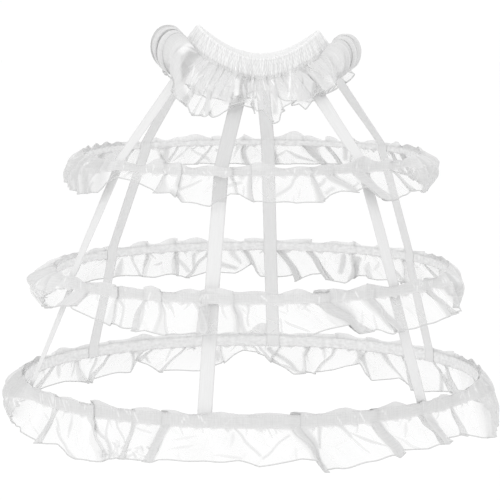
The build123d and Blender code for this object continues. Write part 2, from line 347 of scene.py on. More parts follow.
def ribbon_material(name, pale, deep, roughness, grain_mm=SATIN_WARP_MM, stretch=0.03):
    """Opaque ribbon between two close greys: noise of one grain size across it, stretched along it."""
    material, tree, shader = new_material(name, Roughness=roughness, Specular_IOR_Level=0.25)
    cloth = node(tree, "ShaderNodeUVMap", {"uv_map": "cloth"})
    warp = node(tree, "ShaderNodeMapping", inputs={"Scale": (1.0, stretch, 1.0)}, links=[("Vector", cloth, "UV")])
    lines = node(tree, "ShaderNodeTexNoise", inputs={"Scale": 1 / (grain_mm * MM), "Detail": 2.0},
                 links=[("Vector", warp, "Vector")])
    tone_by(tree, shader, lines, "Fac", (0.3, deep), (0.7, pale))
    bump = node(tree, "ShaderNodeBump", inputs={"Strength": 0.2, "Distance": 0.0003},
                links=[("Height", lines, "Fac")])
    tree.links.new(bump.outputs["Normal"], shader.inputs["Normal"])
    return material


satin_face = ribbon_material("satin_ribbon_face", "#EEEEEE", "#E8E8E8", 0.5)
satin_back = ribbon_material("satin_ribbon_back", "#EDEDED", "#E8E8E8", 0.65)
# Painted shade: a greyer copy of the satin for the front tape's top span.
satin_painted_shade = ribbon_material("painted_shade_satin_ribbon", "#DEDEDE", "#D8D8D8", 0.6)
# The casing's mottle is painted shade of its puckers.
casing_ribbon = ribbon_material("woven_casing_ribbon", "#F8F8F8", "#E6E6E6", 0.65, CASING_PUCKER_SHADE_MM, 0.6)
print("ribbons:", [m.name for m in (satin_face, satin_back, satin_painted_shade, casing_ribbon)])

# %% [markdown]
# The waistband is organza drawn up on elastic. Its many layers make it opaque. The crests of the gathers get a
# painted highlight and the valleys painted shade, from the mark for the height of a gather, and its inner side is
# painted lighter. Thread, elastic, the plastic cover of the bones and the aluminium of the joiners complete the list.

# %% Shirred cloth, thread and the hidden parts
shirred_organza, tree, shader = new_material("shirred_polyester_organza", Roughness=0.6, Specular_IOR_Level=0.25)
# Painted light and shade: on the waistband this mark holds the crest highlights and valley shade of the gathers.
height = node(tree, "ShaderNodeAttribute", {"attribute_name": "crowding"})
tone_by(tree, shader, height, "Fac", (0.0, "#FFFFFF"), (0.5, "#F2F2F2"), (1.0, "#E2E2E2"))

thread = new_material("polyester_thread", Base_Color=linear("#EEEEEE"), Roughness=0.5, Sheen_Weight=0.2)[0]


def speckled(name, pale, deep, grain_mm, **sockets):
    """A hidden part's finish: two close tones in a fine grain on Object coordinates."""
    material, tree, shader = new_material(name, **sockets)
    place = node(tree, "ShaderNodeTexCoord")
    grain = node(tree, "ShaderNodeTexNoise", inputs={"Scale": 1 / (grain_mm * MM), "Detail": 2.0},
                 links=[("Vector", place, "Object")])
    tone_by(tree, shader, grain, "Fac", (0.35, deep), (0.65, pale))
    return material


elastic_rib = speckled("woven_elastic", "#ECECEC", "#DEDEDE", 1.5, Roughness=0.7)
bone_cover = speckled("moulded_polyester_bone", "#E8E8E8", "#DEDEDE", 3.0, Roughness=0.4)
joiner_metal = speckled("aluminium_sleeve", "#D8D8D8", "#C8C8C8", 2.0, Roughness=0.35, Metallic=1.0)
print("other finishes:", [m.name for m in (shirred_organza, thread, elastic_rib, bone_cover, joiner_metal)])

# %% [markdown]
# ## The ruffles
# Each ruffle is one long strip of organza, pleated as it was sewn: the cloth goes forward, back and forward again,
# so three layers lie on each other in a slanting dark stripe, with a flat sheer panel up to the next pleat. A cloth
# simulation would soften these sharp pleats, so the strip is laid by formula. Along the cloth, the place round the
# hoop grows with the cloth and falls back by twice the overlap in each pleat.
#
# The pleats that the photograph shows are listed: azimuth at the stitching, azimuth at the hem, and overlap
# in mm. The hem is a second list, of azimuth and drop in mm. Where nothing can be read, a seeded choice fills in.
#
# At both sides the cloth is pushed together along the bone and stands out as a smooth puff. For left and right, a
# row gives the azimuth where it starts, how much of a half turn its profile makes, the share of the flounce that
# is dense, how far it stands out in mm, and how much painted shade it gets.

# %% Pleats, hems and puffs seen on each hoop
SEEN_PLEATS = {
    "top": [
        (-28.3, -29.0, 8), (-23.0, -23.0, 4), (-6.5, -5.0, 7), (-0.5, 0.2, 5), (18.9, 20.6, 5), (25.9, 32.5, 10),
        (36.0, 46.0, 24), (52.0, 59.0, 12), (151.9, 148.3, 8), (160.3, 155.0, 14), (182.5, 181.0, 6),
    ],
    "middle": [
        (-52.0, -53.0, 8), (-39.9, -38.1, 7), (-30.1, -31.0, 7), (-25.2, -21.5, 4), (-12.6, -13.2, 12),
        (-5.1, -3.5, 5), (19.1, 28.6, 30), (34.0, 41.0, 18), (57.5, 67.0, 17), (147.0, 149.2, 9), (161.8, 156.6, 13),
        (171.2, 165.9, 13), (181.7, 178.1, 8), (203.8, 202.0, 8), (214.0, 213.0, 7),
    ],
    "bottom": [
        (-53.3, -58.0, 7), (-40.2, -35.0, 7), (-28.2, -29.5, 7), (-20.0, -23.5, 15), (9.9, 15.4, 18),
        (29.2, 35.0, 17), (43.4, 50.5, 14), (55.7, 57.4, 6),
    ],
}
SEEN_HEM = {
    "top": [
        (-150, 34), (-120, 38), (-90, 30), (-64, 45), (-53, 37), (-50, 20), (-44, 8), (-37.1, 13), (-30.4, 28),
        (-24.2, 27), (-21.3, 41), (-12.1, 47), (-7.2, 26), (-3.5, 27), (0.4, 39), (20.2, 42), (23.6, 31),
        (27.6, 26), (33.6, 29), (36.8, 22), (40.8, 39), (44.5, 47), (50, 46), (58, 36), (69.5, 46), (90, 48),
        (150, 34), (180, 38),
    ],
    "middle": [
        (-177.2, 41), (-175.1, 49), (-167.4, 46), (-160.9, 54), (-157, 47), (-150.7, 49), (-141.1, 41),
        (-130.6, 44), (-110, 40), (-75, 44), (-53.3, 20), (-34.9, 44), (-29.9, 46), (-26.5, 43), (-21.6, 48),
        (-5.4, 43), (8.1, 44), (12.3, 50), (24.7, 32), (27.9, 49), (32.3, 46), (37.7, 55), (62.9, 45), (110, 44),
        (137.6, 49), (144.8, 49), (145.3, 45), (148, 47), (152.1, 60), (157.6, 55), (158.3, 45), (162, 48),
        (166.7, 61), (167.8, 50), (172.9, 55), (177, 53), (179.9, 31),
    ],
    "bottom": [
        (-177.7, 13), (-172.1, 38), (-166.2, 50), (-154.6, 47), (-152, 32), (-148.8, 20), (-147.3, 19), (-147, 34),
        (-146.2, 41), (-142.4, 40), (-132.7, 51), (-125.7, 42), (-116.9, 41), (-86, 54), (-71, 51), (-59.1, 61),
        (-49.9, 52), (-46.4, 64), (-42.8, 69), (-38.5, 68), (-30.4, 57), (-22.4, 56), (-20.6, 51), (-2.5, 50),
        (1.8, 57), (10.7, 47), (14.7, 50), (15.7, 68), (20.8, 67), (32.9, 53), (34.5, 57), (36.7, 48), (43.4, 53),
        (47, 49), (50.2, 52), (52.2, 45), (54.9, 43), (61.5, 50), (68.4, 67), (76.6, 70), (90, 68), (105, 56),
        (119.9, 52), (124.6, 61), (134.6, 64), (139.5, 49), (147.2, 59), (149.7, 46), (150.8, 29), (161.7, 52),
        (168.5, 55), (174.3, 36), (176.4, 21),
    ],
}
# The last number of each row is painted shade on the puff.
PUFFS = {
    "top": ((47.0, 0.6, 1.0, 26.0, 0.36), (61.0, 0.9, 1.0, 25.0, 0.16)),
    "middle": ((60.0, 0.85, 0.1, 37.0, 0.22), (63.0, 0.8, 0.9, 22.0, 0.22)),
    "bottom": ((66.0, 0.8, 0.5, 30.0, 0.34), (65.0, 0.55, 1.0, 27.0, 0.24)),
}
RUFFLE_SEED, PUFF_EASE = 5, 10.0
PLEAT_STEP, PLEAT_ROOM, PLEAT_FILL = 9.0, 4.0, 40
PLEAT_SPREAD, PLEAT_LEAN, PLEAT_OVERLAP = (0.6, 1.5), (-7, 7), (3, 9)
FRONT_EDGE, FRONT_ROOM = 60.0, 40.0


def puffed(name, turn):
    """How far a place is inside a puff, 0 to 1, and the rest of the row of the puff on its side."""
    degrees = signed_degrees(turn)
    inward = np.minimum(np.abs(degrees), 180.0 - np.abs(degrees))
    left, right = (np.array(row)[:, None] for row in PUFFS[name])
    start, *rest = np.where(degrees < 0, left, right)
    return smooth((inward - start) / PUFF_EASE), *rest


def all_pleats(name, seed):
    """The seen pleats, and chosen ones in the gaps at the back, as place, lean and overlap."""
    random = np.random.default_rng(seed)
    seen = sorted((row[0] % 360, *row) for row in SEEN_PLEATS[name])
    rows = []
    for this, following in zip(seen, seen[1:] + [(seen[0][0] + 360, *seen[0][1:])]):
        rows.append((this[0], this[2] - this[1], this[3]))
        if max(abs(this[1]), abs(following[1])) < FRONT_EDGE and following[0] - this[0] < FRONT_ROOM:
            continue
        places = this[0] + np.cumsum(PLEAT_STEP * random.uniform(*PLEAT_SPREAD, PLEAT_FILL))
        for place in places[places < following[0] - PLEAT_ROOM]:
            lean, overlap = random.uniform(*PLEAT_LEAN), random.uniform(*PLEAT_OVERLAP)
            turn = math.radians(place)
            if math.cos(turn) < 0 and puffed(name, [turn])[0][0] < 0.5:
                rows.append((place, lean, overlap))
    return np.array(sorted(rows))


print({name: len(all_pleats(name, seed)) for seed, name in enumerate(HOOPS, RUFFLE_SEED)}, "pleats")

# %% [markdown]
# Between the pleats the cloth is crushed: crisp dark folds run across the panels and short ticks hang under the
# stitching. The ones that the photograph shows are listed as strokes: azimuth and drop of both ends, half the width
# at both ends in mm, and how dark the fold is. Ticks and faint creases are added all round by a seeded choice. A
# crushed patch is given by two azimuths and two drops, and a lump of the header by its azimuth, half its width in
# degrees and its rise in mm.

# %% Folds seen on each hoop
SEEN_FOLDS = {
    "top": [
        (-27.6, 6, -26.7, 24, 2.4, 7.3, 0.9), (-23.4, 3, -22.7, 22, 2, 2, 0.7), (-22.3, 22, -15.8, 8, 2, 1.2, 0.8),
        (-24.3, 24, -20.9, 41, 2.4, 2.4, 0.8), (-7.7, 14, -3, 10, 2, 2, 0.8), (-2, 15, -2.3, 29, 1.6, 1.6, 0.7),
        (-0.5, 4, -0.5, 36, 3.2, 2.8, 0.85), (14.2, 2, 7.4, 30, 2, 2, 0.85), (15.7, 20, 14, 37, 1.2, 1.2, 0.5),
        (12, 31, 11.8, 40, 1.2, 1.2, 0.5), (19.6, 1, 19.6, 41, 2.4, 3.2, 0.85),
        (23.5, 8, 21.1, 15, 2.8, 2.8, 0.85), (25.7, 21, 22.4, 28, 2.4, 2.4, 0.8),
        (24.4, 2, 31.9, 27, 3.2, 3.2, 0.9), (35, 14, 31.2, 25, 1.6, 1.6, 0.7), (37.5, 7, 43.8, 40, 11.4, 6.5, 0.8),
        (-147.9, -3, -148.4, 28, 6.4, 5.5, 0.8), (-156.9, 5, -152.8, 29, 2.3, 2.3, 0.6),
        (-158.4, 5, -167.6, 37, 2.3, 2.3, 0.6), (-167.1, 8, -167.5, 12, 3.7, 3.7, 0.7),
        (-176.1, 1, -173.8, 26, 2.3, 2.3, 0.6), (-177.3, 5, -179.1, 36, 2.8, 2.3, 0.8),
        (172.1, 24, 168, 10, 1.8, 1.8, 0.6), (168, 10, 158.6, 32, 2.8, 2.8, 0.75),
        (157.9, -1, 156.2, 37, 10.1, 6.4, 0.92), (151.4, 4, 148.4, 33, 3.6, 1.8, 0.85),
        (144.1, -2, 145.3, 21, 4.5, 4.5, 0.8),
    ],
    "middle": [
        (-55, 0, -60, 30, 12, 8, 0.9), (-40.6, -5, -36.8, 12, 2.4, 2, 0.85), (-36.8, 12, -35.4, 41, 2, 2, 0.85),
        (-30.7, -5, -29, 16, 2.4, 1.6, 0.85), (-29, 16, -29.2, 43, 1.6, 1.6, 0.8),
        (-25.4, -1, -23.6, 45, 2.4, 2.8, 0.75), (-23.7, -6, -20.3, 23, 3.2, 0.8, 0.7),
        (-16.2, -8, -14.1, 7, 4, 2.4, 0.9), (-13.7, 11, -12.4, 37, 2.4, 4.7, 0.9),
        (-7.9, 3, -6.6, 20, 1.6, 1.6, 0.7), (-5, -5, -1.7, 40, 3.2, 3.9, 0.85), (-1.2, -2, -0.2, 31, 2, 1.6, 0.85),
        (-3.9, 2, -1.2, 15, 1.2, 1.2, 0.5), (6.7, 11, 9.3, 15, 1.2, 1.2, 0.6), (6.6, 23, 8.1, 44, 1.6, 1.2, 0.8),
        (8.4, 25, 14, 42, 2, 0.8, 0.7), (20.2, 21, 21.7, 35, 1.6, 1.6, 0.6), (21.9, 0, 25.4, 28, 15.1, 14.3, 0.97),
        (25.4, 28, 27.7, 48, 11.9, 3.2, 0.97), (30.8, 17, 28.2, 44, 1.6, 1.6, 0.5),
        (33.7, 22, 32.5, 47, 1.6, 1.6, 0.6), (32.4, -4, 35.4, 20, 8, 6.4, 0.95), (35.4, 20, 37.6, 47, 4, 2, 0.85),
        (44.3, 18, 47.4, 32, 1.6, 1.6, 0.4), (59.8, 3, 62, 43, 7.4, 6.6, 0.95),
        (-136.8, 6, -139, 53, 7.3, 5.5, 0.7), (-148.6, 24, -152.5, 21, 2.3, 2.3, 0.7),
        (-156, 9, -160.2, 40, 2.8, 2.8, 0.7), (-162.2, 7, -162.1, 42, 3.7, 3.7, 0.8),
        (-171.1, 30, -175.1, 39, 4.7, 2.8, 0.85), (-173.9, 3, -177.1, 33, 4.6, 1.9, 0.7),
        (-177.9, 3, 179, 37, 3.7, 4.7, 0.9), (179, 37, 177, 57, 3.7, 0.9, 0.85),
        (170.5, 2, 166.7, 58, 5.6, 4.7, 0.95), (161.8, 1, 157.5, 51, 5.6, 2.8, 0.95),
        (150.3, 7, 153, 39, 4.6, 3.7, 0.8), (145.5, 10, 150.3, 54, 4.6, 3.7, 0.9),
        (142.6, 17, 144.2, 45, 6.4, 5.5, 0.6), (138.2, 12, 141.3, 31, 2.7, 2.7, 0.5),
    ],
    "bottom": [
        (-66.7, 24, -60, 50, 1.2, 0.8, 0.5), (-59, 13, -55.7, 24, 1.6, 1.2, 0.6),
        (-54.9, -6, -56.6, 55, 3.3, 1.6, 0.9), (-53, 10, -49.2, 36, 2.4, 1.2, 0.7),
        (-51.4, 27, -46.6, 59, 2, 2, 0.8), (-46.6, 59, -42.9, 68, 2, 2, 0.8), (-46.9, 4, -47.2, 38, 4, 2, 0.7),
        (-41.4, 2, -35.5, 32, 3.2, 2, 0.85), (-35.5, 32, -33.9, 61, 2.4, 2.8, 0.85),
        (-35.3, -2, -35.6, 29, 2, 1.6, 0.8), (-33.3, 0, -29.6, 37, 2, 1.2, 0.75),
        (-28.8, -14, -28.4, 7, 2.4, 2, 0.9), (-28.1, 7, -23.6, 13, 1.6, 1.6, 0.6),
        (-19.9, 0, -22.8, 34, 6.3, 5.5, 0.95), (-22.8, 34, -22.5, 53, 5.5, 4.7, 0.9),
        (-16.5, 1, -15.8, 14, 1.2, 0.8, 0.6), (-18.1, 21, -12.6, 13, 1.2, 1.6, 0.45),
        (-18.4, 35, -12.7, 27, 1.2, 2, 0.5), (-7.6, -11, -5.3, 6, 1.6, 1.2, 0.7),
        (-4.4, 7, -4.8, 28, 3.9, 3.1, 0.4), (-3.8, 0, 1.6, 41, 1.6, 1.6, 0.75), (-9, 40, -2.1, 45, 1.6, 1.6, 0.5),
        (8.7, 11, 2.3, 45, 1.2, 1.6, 0.8), (9.7, 29, 9.6, 45, 1.2, 1.2, 0.5), (10.8, -5, 14.2, 30, 8.6, 6.2, 0.95),
        (14.2, 30, 15.5, 65, 5.5, 3.1, 0.95), (15.7, -5, 15.6, 31, 3.1, 2.3, 0.9),
        (20.8, 0, 22.7, 19, 3.1, 2, 0.8), (22.7, 19, 27, 45, 2, 0.8, 0.6), (22.8, 13, 31.7, 38, 2, 2, 0.75),
        (30.3, 2, 34.1, 51, 7.9, 7.1, 0.95), (38.3, 8, 37, 29, 3.2, 2.4, 0.5),
        (34.5, 27, 41.2, 51, 2.4, 1.6, 0.35), (45.9, -4, 47.9, 30, 8, 6.4, 0.95),
        (47.9, 30, 49.9, 50, 4.8, 2.4, 0.95), (56.7, 7, 57.8, 28, 3.3, 2.5, 0.8),
        (-134, 5, -132.8, 43, 2.7, 2.7, 0.8), (-126, 3, -127, 35, 2.7, 2.7, 0.6),
        (-118.4, -1, -121.8, 30, 4.5, 4.5, 0.6), (-146.2, -7, -146.7, 36, 3.2, 3.2, 0.9),
        (-147.8, 0, -149.1, 18, 5.6, 5.6, 0.6), (-150.6, 4, -152.6, 30, 1.9, 1.9, 0.7),
        (-158.2, -4, -156.3, 26, 1.9, 1.9, 0.6), (-164.2, -7, -164.2, 4, 2.8, 2.8, 0.9),
        (-170.9, 10, -171, 37, 4.7, 2.8, 0.7), (-177.7, -1, -178.5, 15, 2.8, 2.8, 0.7),
        (177.7, 7, 172.9, 38, 2.4, 2.4, 0.8), (172.9, 38, 165.5, 54, 2.4, 2.3, 0.7),
        (175, 7, 168.2, 47, 3.8, 2.8, 0.8), (164.5, -3, 164, 34, 2.8, 1.9, 0.5),
        (160.3, -1, 160, 22, 2.8, 2.8, 0.6), (149.7, -1, 148, 54, 5.6, 3.7, 0.9),
        (141.9, 4, 137.3, 53, 5.5, 2.8, 0.9), (133.2, 19, 134.3, 64, 3.7, 3.7, 0.7),
        (121.9, 13, 124.5, 59, 3.6, 3.6, 0.8), (119, 18, 120.8, 53, 5.4, 5.4, 0.5),
    ],
}
CRUSHED = {"top": [], "middle": [], "bottom": [(-36.0, -23.0, 34.0, 60.0)]}
LUMPS = {
    "top": [(-31.0, 4.0, 8.0), (-23.0, 3.0, 4.0), (1.0, 4.0, 7.0), (38.0, 8.0, 9.0), (-158.0, 7.0, 5.0),
            (166.0, 6.0, 8.0)],
    "middle": [(-38.0, 2.0, 3.0), (-8.0, 7.0, 5.0), (31.0, 4.0, 6.0), (-156.0, 6.0, 4.0)],
    "bottom": [(177.0, 4.5, 12.0), (155.0, 5.0, 4.0), (-150.0, 3.0, 6.0)],
}
print({name: len(rows) for name, rows in SEEN_FOLDS.items()}, "folds seen")

# %% [markdown]
# A chosen stroke starts at a place. Its kind says between which values it swings aside in degrees, how far it falls
# in mm, half its width at both ends, and how dark it is.

# %% Strokes on the cloth
FINEST_HALF, BOLDER, DARKER, PUFF_DARKER = 1.2, 1.25, 1.1, 0.4
FREE_STRENGTH, FREE_HEAD, FREE_FOOT, FREE_TIP = 0.76, 3.0, 40.0, 0.1
TICKS, TICK_HEAD, CREASES, CREASE_HEADS, CRUSHED_STROKES = 80, -1, 60, (0, 0.7), 60
TICK = dict(swing=(-2, 2), fall=(4, 15), halves=(1.3, 1.2), strength=(0.25, 0.8))
CREASE = dict(swing=(-4, 4), fall=(8, 26), halves=(3.5, 1.5), strength=(0.08, 0.24))
CRUSH = dict(swing=(-2, 2), fall=(-7, 7), halves=(1.9, 1.4), strength=(0.4, 0.9))


def chosen_stroke(random, turn, high, swing, fall, halves, strength, unit=1.0):
    """A stroke of one kind from a place: seeded choices set its swing, its fall in units and its strength."""
    foot = turn + random.uniform(*swing), high + random.uniform(*fall) * unit
    return turn, high, *foot, *halves, random.uniform(*strength)


def fold_strokes(name, seed):
    """All strokes of one hoop: the seen folds, ticks under the stitching, creases all round and crushed patches."""
    random, drop = np.random.default_rng(seed), HOOPS[name]["drop"]
    strokes = [(*row[:4], BOLDER * row[4], BOLDER * row[5], row[6]) for row in SEEN_FOLDS[name]]
    for turn in random.uniform(-180, 180, TICKS):
        tick = chosen_stroke(random, turn, 0.0, **TICK)
        strokes.append((turn, TICK_HEAD, *tick[2:]))
    for turn in random.uniform(-180, 180, CREASES):
        tight = puffed(name, np.radians([turn]))[0][0]
        crease = chosen_stroke(random, turn, random.uniform(*CREASE_HEADS) * drop, **CREASE)
        strokes.append((*crease[:6], crease[6] + PUFF_DARKER * tight))
    for left, right, top, foot in CRUSHED[name]:
        for _ in range(CRUSHED_STROKES):
            turn, high = random.uniform(left, right), random.uniform(top, foot)
            strokes.append(chosen_stroke(random, turn, high, **CRUSH))
    return strokes


def stroke_marks(strokes, turn, down, radius):
    """The darkest stroke at each point: strength x exp(-(distance / half width)^4), distances in mm on the cloth.

    A weak stroke tapers towards an end that lies free on a panel.
    """
    marks = np.zeros(np.broadcast_shapes(turn.shape, down.shape))
    for turn_0, down_0, turn_1, down_1, half_0, half_1, strength in strokes:
        across = np.radians(signed(np.degrees(turn) - turn_0)) * radius
        reach = math.radians(signed(turn_1 - turn_0)) * radius
        fall = down_1 - down_0
        share = np.clip((across * reach + (down - down_0) * fall) / (reach ** 2 + fall ** 2), 0.0, 1.0)
        away = np.hypot(across - share * reach, down - down_0 - share * fall)
        half = np.maximum(half_0 + (half_1 - half_0) * share, FINEST_HALF)
        if strength < FREE_STRENGTH and down_0 > FREE_HEAD:
            half = half * np.sqrt(np.clip(2 * share, FREE_TIP, 1.0))
        if strength < FREE_STRENGTH and down_1 < FREE_FOOT:
            half = half * np.sqrt(np.clip(2 - 2 * share, FREE_TIP, 1.0))
        marks = np.maximum(marks, min(DARKER * strength, 1.0) * np.exp(-(away / half) ** 4))
    return marks


print({name: len(fold_strokes(name, seed)) for seed, name in enumerate(HOOPS, RUFFLE_SEED)}, "strokes")

# %% [markdown]
# Next comes the strip itself. Columns follow the cloth, closer together at the edges of the pleats so that these stay
# crisp, and they lean with the pleats. The front is seen best and gets the closest columns, the sides the widest.

# %% Columns of a pleated strip
FRONT_STEP, BACK_STEP, SIDE_STEP, EDGE_STEPS = 1.25, 2.0, 3.0, (-1.6, -0.6, 0.0, 0.6, 1.6)
FACING, MEASURE_STEP, CLOSEST_COLUMNS = 0.46, 0.5, 0.3
PLEAT_ROUNDING, PANEL_EASE, LAYERS_HALF, LAYERS_EASE = 0.6, 38.0, 1.5, 2.0


def soft_clip(x, width):
    """x held between 0 and width, with corners rounded over about the pleat's own rounding."""
    def hinge(y):
        return PLEAT_ROUNDING * np.logaddexp(0.0, y / PLEAT_ROUNDING)
    return hinge(x) - hinge(x - width)


def pleated_columns(pleats, girth):
    """Where the columns lie: their place along the cloth, round the hoop, in and out, and their lean.

    Round the hoop is cloth minus twice the soft clip of each pleat. Out is 1 on the top layer of a pleat and -1 on
    its bottom layer, easing to 0 over the panels. Cover is 1 on the three layers of a pleat and 0 on the panels. The
    lean is read between the pleats.
    """
    places, leans, overlaps = pleats.T
    taken = np.concatenate([[0.0], np.cumsum(2 * overlaps)[:-1]])
    starts = places / 360 * girth + overlaps / 2 + taken
    length = girth + 2 * overlaps.sum()
    ends = starts + overlaps
    edges = np.concatenate([starts, ends])[:, None] + np.array(EDGE_STEPS)
    fine = np.arange(0.0, length, MEASURE_STEP)
    faced = np.cos((fine - 2 * soft_clip(fine[:, None] - starts, overlaps).sum(axis=1)) / girth * TURN)
    step = np.where(faced > FACING, FRONT_STEP, np.where(faced < -FACING, BACK_STEP, SIDE_STEP))
    count = np.cumsum(MEASURE_STEP / step)
    columns = np.interp(np.arange(0.0, count[-1]), count, fine)
    cloth = np.unique(np.round(np.concatenate([columns, edges.ravel() % length]), 2))
    cloth = cloth[np.diff(cloth, append=length) > CLOSEST_COLUMNS]
    along = cloth[:, None] - starts
    spot = cloth - 2 * soft_clip(along, overlaps).sum(axis=1)
    sides = np.where(leans < 0, -1.0, 1.0)
    middle = along - overlaps / 2
    inside = np.clip(-2 * middle / overlaps, -1.0, 1.0)
    fade = np.exp(-(np.maximum(np.abs(middle) - overlaps / 2, 0.0) / PANEL_EASE) ** 2)
    out = (sides * inside * fade).sum(axis=1)
    cover = np.exp(-np.maximum(np.abs(middle) - LAYERS_HALF * overlaps, 0.0) ** 2 / LAYERS_EASE).max(axis=1)
    knots = np.stack([starts, ends], axis=1).ravel()
    lean = np.interp(cloth, knots, np.repeat(leans, 2) / 360 * girth, period=length)
    return dict(cloth=cloth, length=length, spot=spot, out=out, cover=cover, lean=lean)


for seed, (name, hoop) in enumerate(HOOPS.items(), RUFFLE_SEED):
    lay = pleated_columns(all_pleats(name, seed), TURN * (hoop["radius"] + RUFFLE_WALL))
    print(name, "ruffle:", len(lay["cloth"]), "columns on", round(lay["length"]), "mm of cloth")

# %% [markdown]
# Rows go from the header down over the bone channel to the hem. One formula gives the radius all over: puckers at the
# stitching, the layers of the pleats, and the lean and billow of the free flounce, with the puff in its place at the
# sides. Lengths are in mm.

# %% The surface of a ruffle
HEADER_ROWS, CHANNEL_ROWS, FLOUNCE_ROWS = 4, 5, 36
HEM_WAVER, FRILL_MEAN, FRILL_SWING, FRILL_SPAN = 0.02, 0.8, 0.65, (0.2, 2.2)
BAND_PUCKER, FLOUNCE_PUCKER, PUCKER_MEAN, PUCKER_FALL = 0.35, 1.1, 0.8, 13.0
LAYER_GAP, LAYER_SPREAD, BILLOW_PLEAT, BILLOW_WAVE, BILLOW_CURVE = 0.9, 1.6, 0.22, 0.2, 1.15
PUFF_HEADER, PUFF_FRILL, PUFF_PRESS, PUFF_CURVE, PUFF_CRUMPLE, PUFF_CALM = 6.0, 0.5, 0.8, 0.75, 0.2, 0.7
PUFF_GATHER, GATHER_START, GATHER_BEND, FOLD_BEND = 3.4, 12.0, 160.0, 3.0


def strip_rows():
    """Three numbers for each row: header from 1 to 0, band from 1 to -1 over the channel, and q from 0 to 1 below."""
    above = np.linspace(1.0, 0.0, HEADER_ROWS, endpoint=False)
    channel = np.linspace(1.0, -1.0, CHANNEL_ROWS, endpoint=False)
    down = np.linspace(0.0, 1.0, FLOUNCE_ROWS + 1)
    header = np.concatenate([above, np.zeros(CHANNEL_ROWS + FLOUNCE_ROWS + 1)])[:, None]
    band = np.concatenate([np.ones(HEADER_ROWS), channel, -np.ones(FLOUNCE_ROWS + 1)])[:, None]
    q = np.concatenate([np.zeros(HEADER_ROWS + CHANNEL_ROWS), down])[:, None]
    return header, band, q


def ruffle_shape(name, seed):
    """The organza strip of one hoop: points, uv, and what its tones follow (lay, place, fall, folds and gathers).

    Radius = wall + puckers + pleat layers + lean x q + reach x billow x q^1.15 + the header's flare, with q from 0 at
    the stitching to 1 at the hem. In a puff it is stand x sin(closing x half a turn x share^0.75), with the share
    counted from the top of the header. Height falls from the header through the channel by drop x q.
    """
    hoop = HOOPS[name]
    wall = hoop["radius"] + RUFFLE_WALL
    lay = pleated_columns(all_pleats(name, seed), TURN * wall)
    turn = lay["spot"] / wall
    cloth_turn = lay["cloth"] / lay["length"] * TURN
    header, band, q = strip_rows()
    tight, closing, _, stand, _ = puffed(name, turn)

    drop = np.interp(np.degrees(turn + lay["lean"] / wall), *np.array(SEEN_HEM[name]).T, period=360)
    fall = q * drop * (1 + HEM_WAVER * ring_ripples(cloth_turn, (30, 70), 6, seed + 1))
    lumps = sum(rise * np.exp(-signed(np.degrees(turn) - place) ** 2 / width ** 2)
                for place, width, rise in LUMPS[name])
    frill = FRILL_MEAN + FRILL_SWING * ring_ripples(cloth_turn, (15, 45), 8, seed + 2)
    frill = HEADER_HEIGHT * np.clip(frill, *FRILL_SPAN)
    puff_frill = PUFF_HEADER * (1 + PUFF_FRILL * ring_ripples(cloth_turn, (20, 60), 6, seed + 4))
    top = frill + (puff_frill - frill) * tight + lumps
    height = hoop["level"] + hoop["half"] * band + header * top - fall

    place = turn + lay["lean"] * q / wall
    folds = stroke_marks(fold_strokes(name, seed), place, fall, wall) * (q > 0)
    waves = ring_ripples(cloth_turn, (14, 34), 7, seed + 6)
    billow = 0.5 + BILLOW_PLEAT * lay["out"] + BILLOW_WAVE * waves
    loose = hoop["lean"] * q + hoop["reach"] * np.clip(billow, 0.0, 1.0) * q ** BILLOW_CURVE
    below = HEADER_HEIGHT * (1 - header) + hoop["half"] * (1 - band) + fall
    crumple = ripples(cloth_turn, below, (16, 60), (-0.11, 0.11), 9, seed + 10)
    gathers = ripples(cloth_turn + crumple / GATHER_BEND, below, (55, 105), (-0.03, 0.03), 8, seed + 12)
    puff = stand * np.sin(math.pi * closing * (below / below[-1]) ** PUFF_CURVE)
    puff = puff * (1 + PUFF_CRUMPLE * crumple * (1 - PUFF_CALM * q))
    puff = puff + PUFF_GATHER * gathers * smooth(below / GATHER_START)

    pinch = PUCKER_MEAN + ring_ripples(cloth_turn, (70, 170), 9, seed + 3)
    near = np.exp(-fall / PUCKER_FALL) * (q > 0)
    puckers = (BAND_PUCKER * (q == 0) + FLOUNCE_PUCKER * near + header) * pinch * (1 - PUFF_PRESS * tight)
    layers = (LAYER_GAP + LAYER_SPREAD * q) * (1.0 + lay["out"])
    flare = HEADER_FLARE * header * (1 + np.clip(waves, -1, 1)) * (1 - tight)
    radius = wall + puckers + layers + loose + (puff - loose) * tight + flare + folds
    bend = FOLD_BEND * smooth(3 * q) * ripples(place, fall, (15, 45), (-0.12, 0.12), 7, seed + 9)
    points = HOOP_MIDDLE + around(radius, place + bend / wall, height)

    wrapped = np.append(lay["cloth"], lay["length"])
    cloth_down = (HEADER_HEIGHT * header + hoop["half"] * (band + 1) - q * hoop["drop"]) * MM
    return points, paired(wrapped * MM, cloth_down), dict(lay=lay, place=place, fall=fall, folds=folds, gathers=gathers)


print("rows of a ruffle:", len(strip_rows()[0]))

# %% [markdown]
# The tones follow the shape. Cloth is dense where pleats lie in layers, where it is folded, at the stitching, at the
# hem and in the puffs, and it has painted shade in the folds, layers and puffs and on the band. Painted highlights
# lie along some lines: the lit edge of a gather that turns over the band, and light between two folds of a puff. They
# are strokes as well. The back of the band is painted lighter.

